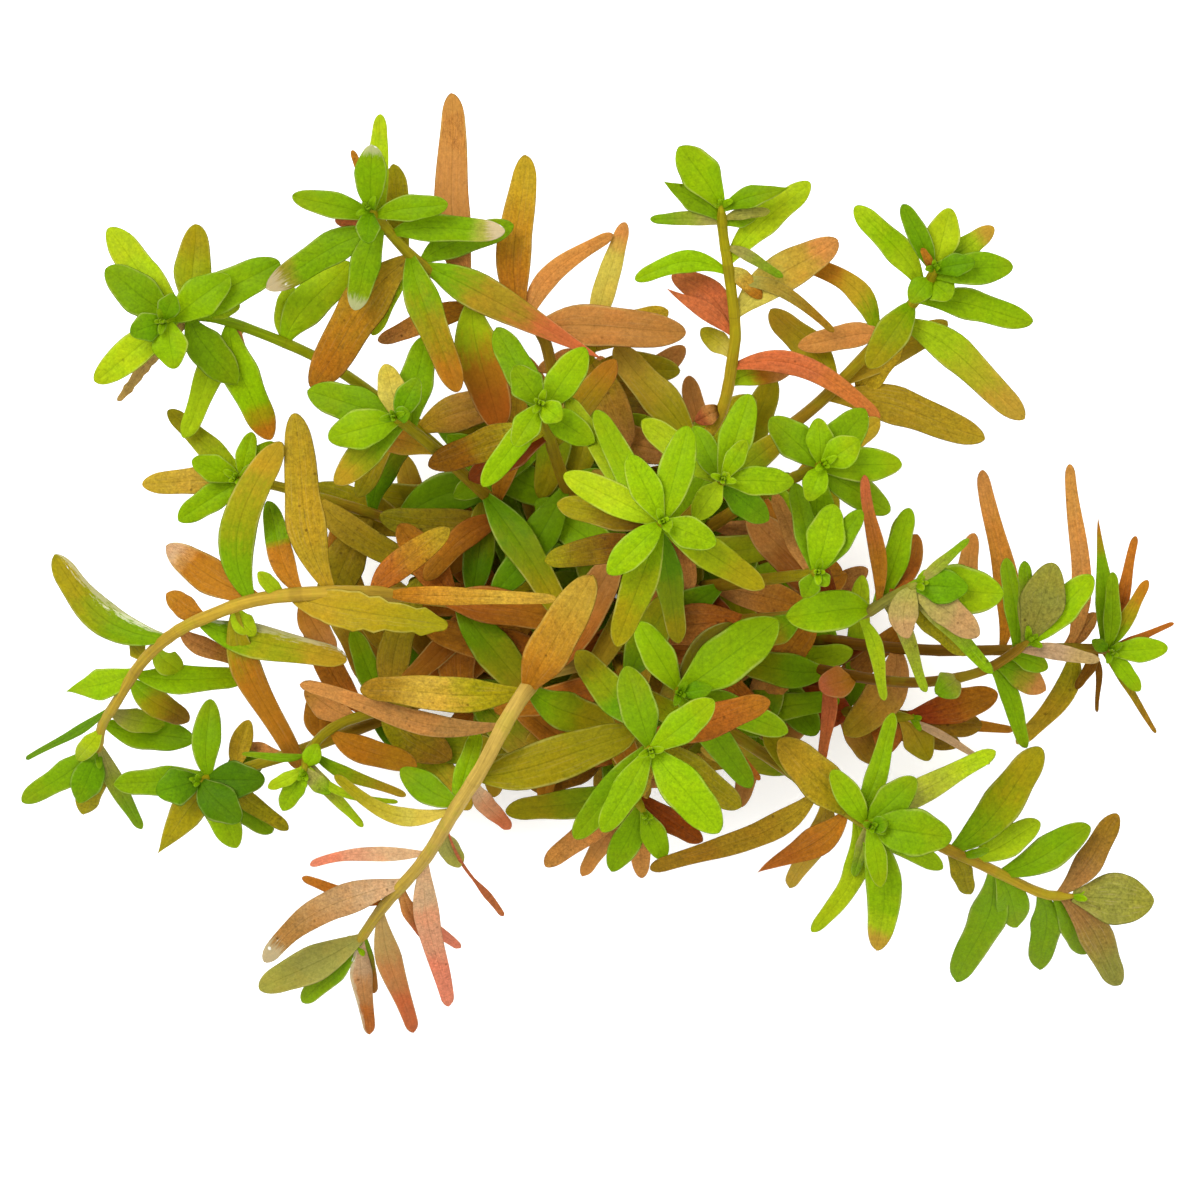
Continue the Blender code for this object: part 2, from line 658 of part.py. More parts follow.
def along(path, back):
    """The point that lies back millimetres from the tip of a stem, and the stem's direction there."""
    for end, start in zip(path[::-1], path[-2::-1]):
        step = end - start
        if back <= step.length or start is path[0]:
            return end - step.normalized() * min(back, step.length), step.normalized()
        back -= step.length


def midline(path, leaf, lift=0.0, arch=0.0, swing=0.0):
    """The four control points of a leaf's middle line, a cubic Bezier curve from stem to tip."""
    back, x, y, rise, width, bend, roll = leaf
    root, stem_way = along(path, back)
    tip = seen(x, y, max(root.z + rise + lift, 0.0))
    root = root + (tip - root).normalized() * ROOT_OFFSET
    reach = tip - root
    turn = math.radians(swing)
    tip.x = root.x + reach.x * math.cos(turn) - reach.y * math.sin(turn)
    tip.y = root.y + reach.x * math.sin(turn) + reach.y * math.cos(turn)
    reach = tip - root
    length = reach.length
    way = reach.normalized()
    side = way.cross(Vector((0, 0, 1))).normalized() * bend
    raised = Vector((0, 0, arch))
    first = root + (way + stem_way * LEAVES_WITH_STEM) * length * HANDLE + side + raised
    last = tip - (way - Vector((0, 0, DROOP))) * length * HANDLE + side + raised
    return root, first, last, tip


def on_curve(points, s):
    a, b, c, d = points
    r = 1 - s
    place = a * r**3 + b * 3 * r * r * s + c * 3 * r * s * s + d * s**3
    way = (b - a) * 3 * r * r + (c - b) * 6 * r * s + (d - c) * 3 * s * s
    return place, way.normalized()


def width_share(s, width, length):
    """The share of its full width that a leaf has at s. Broad leaves are oval and long ones taper."""
    slender = min(max((length / width - STOUT) / (SLENDER - STOUT), 0), 1)
    widest = WIDEST_STOUT + (WIDEST_SLENDER - WIDEST_STOUT) * slender
    taper = TAPER_STOUT + (TAPER_SLENDER - TAPER_STOUT) * slender
    if s < widest:
        share = ROOT_SHARE + (1 - ROOT_SHARE) * math.sin(math.pi / 2 * s / widest)
    else:
        share = 1 - taper * (s - widest) / (1 - widest)
    rounded = min(TIP_ROUNDING * (1 - taper) * width / 2 / length, 0.6)
    past = max(s - 1 + rounded, 0) / rounded
    return share * math.sqrt(max(1 - past * past, 0))


def blade(points, width, roll, gap=0.0, start=0.0):
    """A leaf as a closed body of three-cornered sections: two edges and the rib under its middle."""
    length = (points[3] - points[0]).length
    plain = width < PLAIN_WIDTH or length < PLAIN_LENGTH
    sections = PLAIN_SECTIONS if plain else LEAF_SECTIONS
    root, way = on_curve(points, start)
    corners = [root - way * gap]
    for s in sections:
        if s <= start:
            continue
        share = width_share(s, width, length)
        centre, way = on_curve(points, s)
        side = way.cross(Vector((0, 0, 1)))
        if side.length < 0.05:
            side = Vector((1, 0, 0))
        side.normalize()
        face = side.cross(way)
        turn = math.radians(roll)
        edge = side * math.cos(turn) + face * math.sin(turn)
        up = face * math.cos(turn) - side * math.sin(turn)
        half = width * share / 2 + gap
        corners.append(centre - edge * half + up * (LEAF_FOLD * width * share + gap))
        corners.append(centre + edge * half + up * (LEAF_FOLD * width * share + gap))
        corners.append(centre - up * (LEAF_THICKNESS * (0.5 + share / 2) + gap))
    tip, way = on_curve(points, 1.0)
    corners.append(tip + way * gap)
    faces = []
    for k in range(3):
        faces.append((0, 1 + k, 1 + (k + 1) % 3))
    rings = (len(corners) - 2) // 3
    for ring in range(rings - 1):
        a = 1 + ring * 3
        for k in range(3):
            m = (k + 1) % 3
            faces.append((a + m, a + k, a + 3 + k))
            faces.append((a + m, a + 3 + k, a + 3 + m))
    last = 1 + (rings - 1) * 3
    end = len(corners) - 1
    for k in range(3):
        faces.append((last + (k + 1) % 3, last + k, end))
    return corners, faces


class Obstacle:
    """The surface of something already placed, for the test of whether a leaf lies clear of it."""

    def __init__(self, shoot, corners, faces):
        self.shoot = shoot
        self.low = [min(c[i] for c in corners) for i in range(3)]
        self.high = [max(c[i] for c in corners) for i in range(3)]
        self.tree = BVHTree.FromPolygons(corners, faces)

    def meets(self, other):
        for i in range(3):
            if self.low[i] > other.high[i] or other.low[i] > self.high[i]:
                return False
        return bool(self.tree.overlap(other.tree))


def tube(path, thickness, tip_thickness, gap):
    """A stem's surface as a six-sided tube, for the same test."""
    corners = []
    across = (path[1] - path[0]).orthogonal()
    for i, place in enumerate(path):
        way = (path[min(i + 1, len(path) - 1)] - path[max(i - 1, 0)]).normalized()
        across = (across - way * across.dot(way)).normalized()
        radius = (thickness + (tip_thickness - thickness) * i / (len(path) - 1)) / 2 + gap
        for k in range(6):
            turn = math.radians(60 * k)
            corners.append(place + (across * math.cos(turn) + way.cross(across) * math.sin(turn)) * radius)
    faces = []
    for ring in range(len(path) - 1):
        for k in range(6):
            m = (k + 1) % 6
            faces.append((ring * 6 + k, ring * 6 + m, ring * 6 + 6 + m, ring * 6 + 6 + k))
    return corners, faces


def is_clear(shoot, points, width, roll, placed, own_too):
    body = Obstacle(shoot, *blade(points, width, roll, GAP))
    if body.low[2] < -GAP:
        return False
    outer = Obstacle(shoot, *blade(points, width, roll, 0.0, OUTER_PART))
    for whole, end in placed:
        if whole.shoot != shoot:
            if body.meets(whole):
                return False
        elif own_too and outer.meets(end):
            return False
    return True


def settle_leaf(shoot, path, leaf, placed):
    """The middle line nearest to the one asked for that passes through nothing, or None."""
    width, roll = leaf[4], leaf[6]
    tries = [
        (abs(lift) + abs(arch) * 0.8 + abs(swing) * 0.3, lift, arch, swing)
        for lift in LIFTS
        for arch in ARCHES
        for swing in SWINGS
    ]
    tries.sort()
    for own_too in (True, False):
        for _, lift, arch, swing in tries:
            points = midline(path, leaf, lift, arch, swing)
            if is_clear(shoot, points, width, roll, placed, own_too):
                return points
    return None


def nearest(a, b, c, d):
    """How far along a to b and along c to d those two stretches come nearest to each other."""
    along_one, along_two, between = b - a, d - c, a - c
    one, two = along_one.length_squared, along_two.length_squared
    cross = along_one.dot(along_two)
    toward_one, toward_two = along_one.dot(between), along_two.dot(between)
    spread = one * two - cross * cross
    s = 0.5 if spread < 1e-9 else min(max((cross * toward_two - two * toward_one) / spread, 0), 1)
    t = min(max((cross * s + toward_two) / two, 0), 1)
    s = min(max((cross * t - toward_one) / one, 0), 1)
    return s, t


def part_stems(paths):
    """Moves stems that would pass through each other apart, leaving their two ends where they are."""
    names = list(paths)
    for _ in range(STEM_ROUNDS):
        moved = 0.0
        for i, one in enumerate(names):
            for two in names[i + 1 :]:
                apart = (SHOOTS[one]["thickness"][0] + SHOOTS[two]["thickness"][0]) / 2 + STEM_GAP
                for m in range(len(paths[one]) - 1):
                    for n in range(len(paths[two]) - 1):
                        moved = max(moved, part_pair(paths[one], m, paths[two], n, apart))
        if moved < 0.01:
            break
    return moved


def part_pair(one, m, two, n, apart):
    s, t = nearest(one[m], one[m + 1], two[n], two[n + 1])
    here = one[m].lerp(one[m + 1], s)
    there = two[n].lerp(two[n + 1], t)
    off = here - there
    if off.length >= apart:
        return 0.0
    way = off.normalized() if off.length > 0.01 else Vector((0, 0, 1))
    push = way * (apart - off.length) * 0.55
    for path, k, share, move in ((one, m, s, push), (two, n, t, -push)):
        for place, part in ((k, 1 - share), (k + 1, share)):
            if 0 < place < len(path) - 1:
                path[place] += move * part
    return push.length


def scatter(number, low, high):
    """A value between low and high that looks random but is the same on every run."""
    share = math.sin(number * 12.9898) * 43758.5453
    return low + (high - low) * (share - math.floor(share))


def in_thick_middle(x, y, z):
    out = math.hypot((x - THICK_X) / THICK_HALF_X, (y - THICK_Y) / THICK_HALF_Y)
    return out < 1 and z < CEILING_MIDDLE + (CEILING_EDGE - CEILING_MIDDLE) * out


def lower_leaves(path, first):
    """Rows like those of the table for one stem's lower leaves, in pairs down the stem."""
    whole = sum((b - a).length for a, b in zip(path, path[1:]))
    rows = []
    back, pair = 4.0, first
    while back < whole:
        root, _ = along(path, back)
        back += PAIR_STEP
        pair += 1
        if root.z < LOWEST_PAIR or not in_thick_middle(root.x, root.y, root.z):
            continue
        for half in (0, 180):
            number = pair * 2 + half / 180
            turn = math.radians(pair * PAIR_TURN + half)
            length = scatter(number, *LOWER_LENGTH)
            rise = scatter(number + 0.31, -3.0, 4.0)
            x = root.x + math.cos(turn) * length
            y = root.y + math.sin(turn) * length
            if not in_thick_middle(x, y, root.z + rise):
                continue
            nearer = 1 - (root.z + rise) / EYE_HEIGHT
            place = (x + MIDDLE_X) / nearer, (y + MIDDLE_Y) / nearer
            width = scatter(number + 0.57, *LOWER_WIDTH)
            bend = scatter(number + 0.83, -1.2, 1.2)
            rows.append((back - PAIR_STEP, *place, rise, width, bend, 0.0))
    return rows


def settle_all():
    """Lays every leaf clear of the rest, from the highest down, and gives each shoot's blades."""
    paths = {name: [seen(*place) for place in shoot["stem"]] for name, shoot in SHOOTS.items()}
    print("stems still", round(part_stems(paths), 2), "mm too near")
    placed = []
    for name, shoot in SHOOTS.items():
        stem = Obstacle(name, *tube(paths[name], *shoot["thickness"], GAP))
        placed.append((stem, stem))
    queue = []
    for name, shoot in SHOOTS.items():
        for row in shoot["leaves"]:
            leaf = tuple(row) + (0.0,) * (7 - len(row))
            root, _ = along(paths[name], leaf[0])
            queue.append((False, -(root.z + leaf[3]), len(queue), name, leaf))
        for leaf in lower_leaves(paths[name], len(queue)):
            root, _ = along(paths[name], leaf[0])
            queue.append((True, -(root.z + leaf[3]), len(queue), name, leaf))
    queue.sort()
    blades = {name: [] for name in SHOOTS}
    lower = 0
    for by_rule, _, _, name, leaf in queue:
        points = settle_leaf(name, paths[name], leaf, placed)
        if points is None:
            if not by_rule:
                print("no clear place for the leaf of", name, leaf)
            continue
        lower += by_rule
        width, roll = leaf[4], leaf[6]
        corners, faces = blade(points, width, roll)
        blades[name].append((corners, faces, by_rule))
        end = Obstacle(name, *blade(points, width, roll, 0.0, OUTER_PART))
        placed.append((Obstacle(name, corners, faces), end))
    print(lower, "lower leaves set by rule")
    return paths, blades


def material_for(name):
    made = bpy.data.materials.new(name)
    made.use_nodes = True
    shader = made.node_tree.nodes["Principled BSDF"]
    shader.inputs["Base Color"].default_value = (*COLOURS[OTHER_SHOOTS.get(name, GREEN_SHOOTS)], 1)
    shader.inputs["Roughness"].default_value = 0.45
    shader.inputs["Metallic"].default_value = 0.0
    return made


def make_stem(name, path, thickness, tip_thickness):
    """The bare stem, a tapering tube with a flat cut end, as a mesh object."""
    curve = bpy.data.curves.new(name + "_route", "CURVE")
    curve.dimensions = "3D"
    curve.bevel_depth = thickness / 2 * MM
    curve.bevel_resolution = STEM_BEVEL_RESOLUTION
    curve.use_fill_caps = True
    spline = curve.splines.new("POLY")
    spline.points.add(len(path) - 1)
    for i, place in enumerate(path):
        spline.points[i].co = (*(place * MM), 1)
        spline.points[i].radius = 1 + (tip_thickness / thickness - 1) * i / (len(path) - 1)
    guide = bpy.data.objects.new(name + "_route", curve)
    bpy.context.scene.collection.objects.link(guide)
    bpy.context.view_layer.update()
    mesh = bpy.data.meshes.new_from_object(guide.evaluated_get(bpy.context.evaluated_depsgraph_get()))
    bpy.data.objects.remove(guide)
    work = bmesh.new()
    work.from_mesh(mesh)
    bmesh.ops.remove_doubles(work, verts=work.verts, dist=0.00001)
    for corner in work.verts:
        if corner.co.z < thickness * MM and corner.co.z < path[1].z * MM / 4:
            corner.co.z = 0.0
    work.to_mesh(mesh)
    work.free()
    mesh.name = name
    return bpy.data.objects.new(name, mesh)


def make_leaves(name, blades):
    work = bmesh.new()
    for corners, faces, by_rule in blades:
        shortest = SHORTEST_LOWER_LEAF if by_rule else SHORTEST_LEAF
        if (corners[-1] - corners[0]).length < shortest:
            continue
        made = [work.verts.new(corner * MM) for corner in corners]
        for face in faces:
            work.faces.new([made[k] for k in face])
    bmesh.ops.recalc_face_normals(work, faces=work.faces)
    mesh = bpy.data.meshes.new(name + "_leaves")
    work.to_mesh(mesh)
    work.free()
    return bpy.data.objects.new(name + "_leaves", mesh)


def join(stem, leaves):
    """Grows the leaves onto their stem, so that the shoot is one closed body."""
    grown = stem.modifiers.new("grow", "BOOLEAN")
    grown.operation = "UNION"
    grown.object = leaves
    grown.use_self = True
    bpy.context.view_layer.update()
    mesh = bpy.data.meshes.new_from_object(stem.evaluated_get(bpy.context.evaluated_depsgraph_get()))
    stem.modifiers.clear()
    stem.data = mesh
    bpy.data.objects.remove(leaves)


def build():
    clear_scene()
    bunch = bpy.data.collections.new("ceylon_rotala")
    bpy.context.scene.collection.children.link(bunch)
    paths, blades = settle_all()
    for name, shoot in SHOOTS.items():
        stem = make_stem(name, paths[name], *shoot["thickness"])
        leaves = make_leaves(name, blades[name])
        bunch.objects.link(stem)
        bunch.objects.link(leaves)
        join(stem, leaves)
        stem.data.name = name
        stem.data.materials.clear()
        stem.data.materials.append(material_for(name))
        stem.data.set_sharp_from_angle(angle=math.radians(40))


build()
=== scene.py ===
# %% [markdown]
# # Ceylon rotala, a loose bunch of cut shoots
# Rotala is a stem plant for aquariums. A bunch of it is a couple of dozen shoots. Each is a thin soft
# stem with narrow leaves in pairs, bright green near the growing tip and ochre, orange or red lower
# down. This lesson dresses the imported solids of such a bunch: it makes a fine stem and fine leaves for
# every shoot in the very places of the solids, then the tissue they are made of, then floor and light.

# %% Load the frame
import math

import bpy
import numpy as np
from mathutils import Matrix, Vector
from mathutils.bvhtree import BVHTree


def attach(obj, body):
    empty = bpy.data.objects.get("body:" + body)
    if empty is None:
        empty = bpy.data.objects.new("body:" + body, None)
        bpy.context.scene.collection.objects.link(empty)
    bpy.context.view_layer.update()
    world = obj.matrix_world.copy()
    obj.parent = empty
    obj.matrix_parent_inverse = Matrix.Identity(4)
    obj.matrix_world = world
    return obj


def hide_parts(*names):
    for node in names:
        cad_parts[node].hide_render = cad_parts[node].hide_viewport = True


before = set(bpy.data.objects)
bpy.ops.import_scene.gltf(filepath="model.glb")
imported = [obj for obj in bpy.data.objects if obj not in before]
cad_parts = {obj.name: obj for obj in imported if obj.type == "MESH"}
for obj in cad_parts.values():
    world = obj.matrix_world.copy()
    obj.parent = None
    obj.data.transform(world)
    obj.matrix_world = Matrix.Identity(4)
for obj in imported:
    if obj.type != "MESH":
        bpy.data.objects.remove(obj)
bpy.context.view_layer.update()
MM = 0.001

# %% [markdown]
# ## Where the shoots and leaves are
# Every shoot has a route for its stem and a row for each leaf. The routes and rows are the same as in
# the solids' source, because a leaf blade made here has to lie where its solid lies. Places are given
# in millimetres as an eye one metre above the surface sees them, so that they can be read off a view
# from above. What is higher up looks further out to such an eye, and `seen` takes that back out.

# %% Places as the eye above sees them
EYE_HEIGHT = 1000.0
MIDDLE_X = -0.65
MIDDLE_Y = 2.95


def seen(x, y, z):
    """The real place of what the eye above sees at x, y, when it is z above the surface."""
    nearer = 1 - z / EYE_HEIGHT
    return Vector((x * nearer - MIDDLE_X, y * nearer - MIDDLE_Y, z))


# %% [markdown]
# The text below is the plan of the bunch. A shoot's line gives its stem's thickness at the cut end and
# at the tip, and its stem lines give the route as x,y,z points from the cut end. A leaf's line says how
# far back from the stem's tip it grows, where its own tip is seen, how far that tip rises above the
# root, its width, and its colour. Where they aren't 0, two more values follow: how far it bends to its
# right, and its turn on edge in degrees.

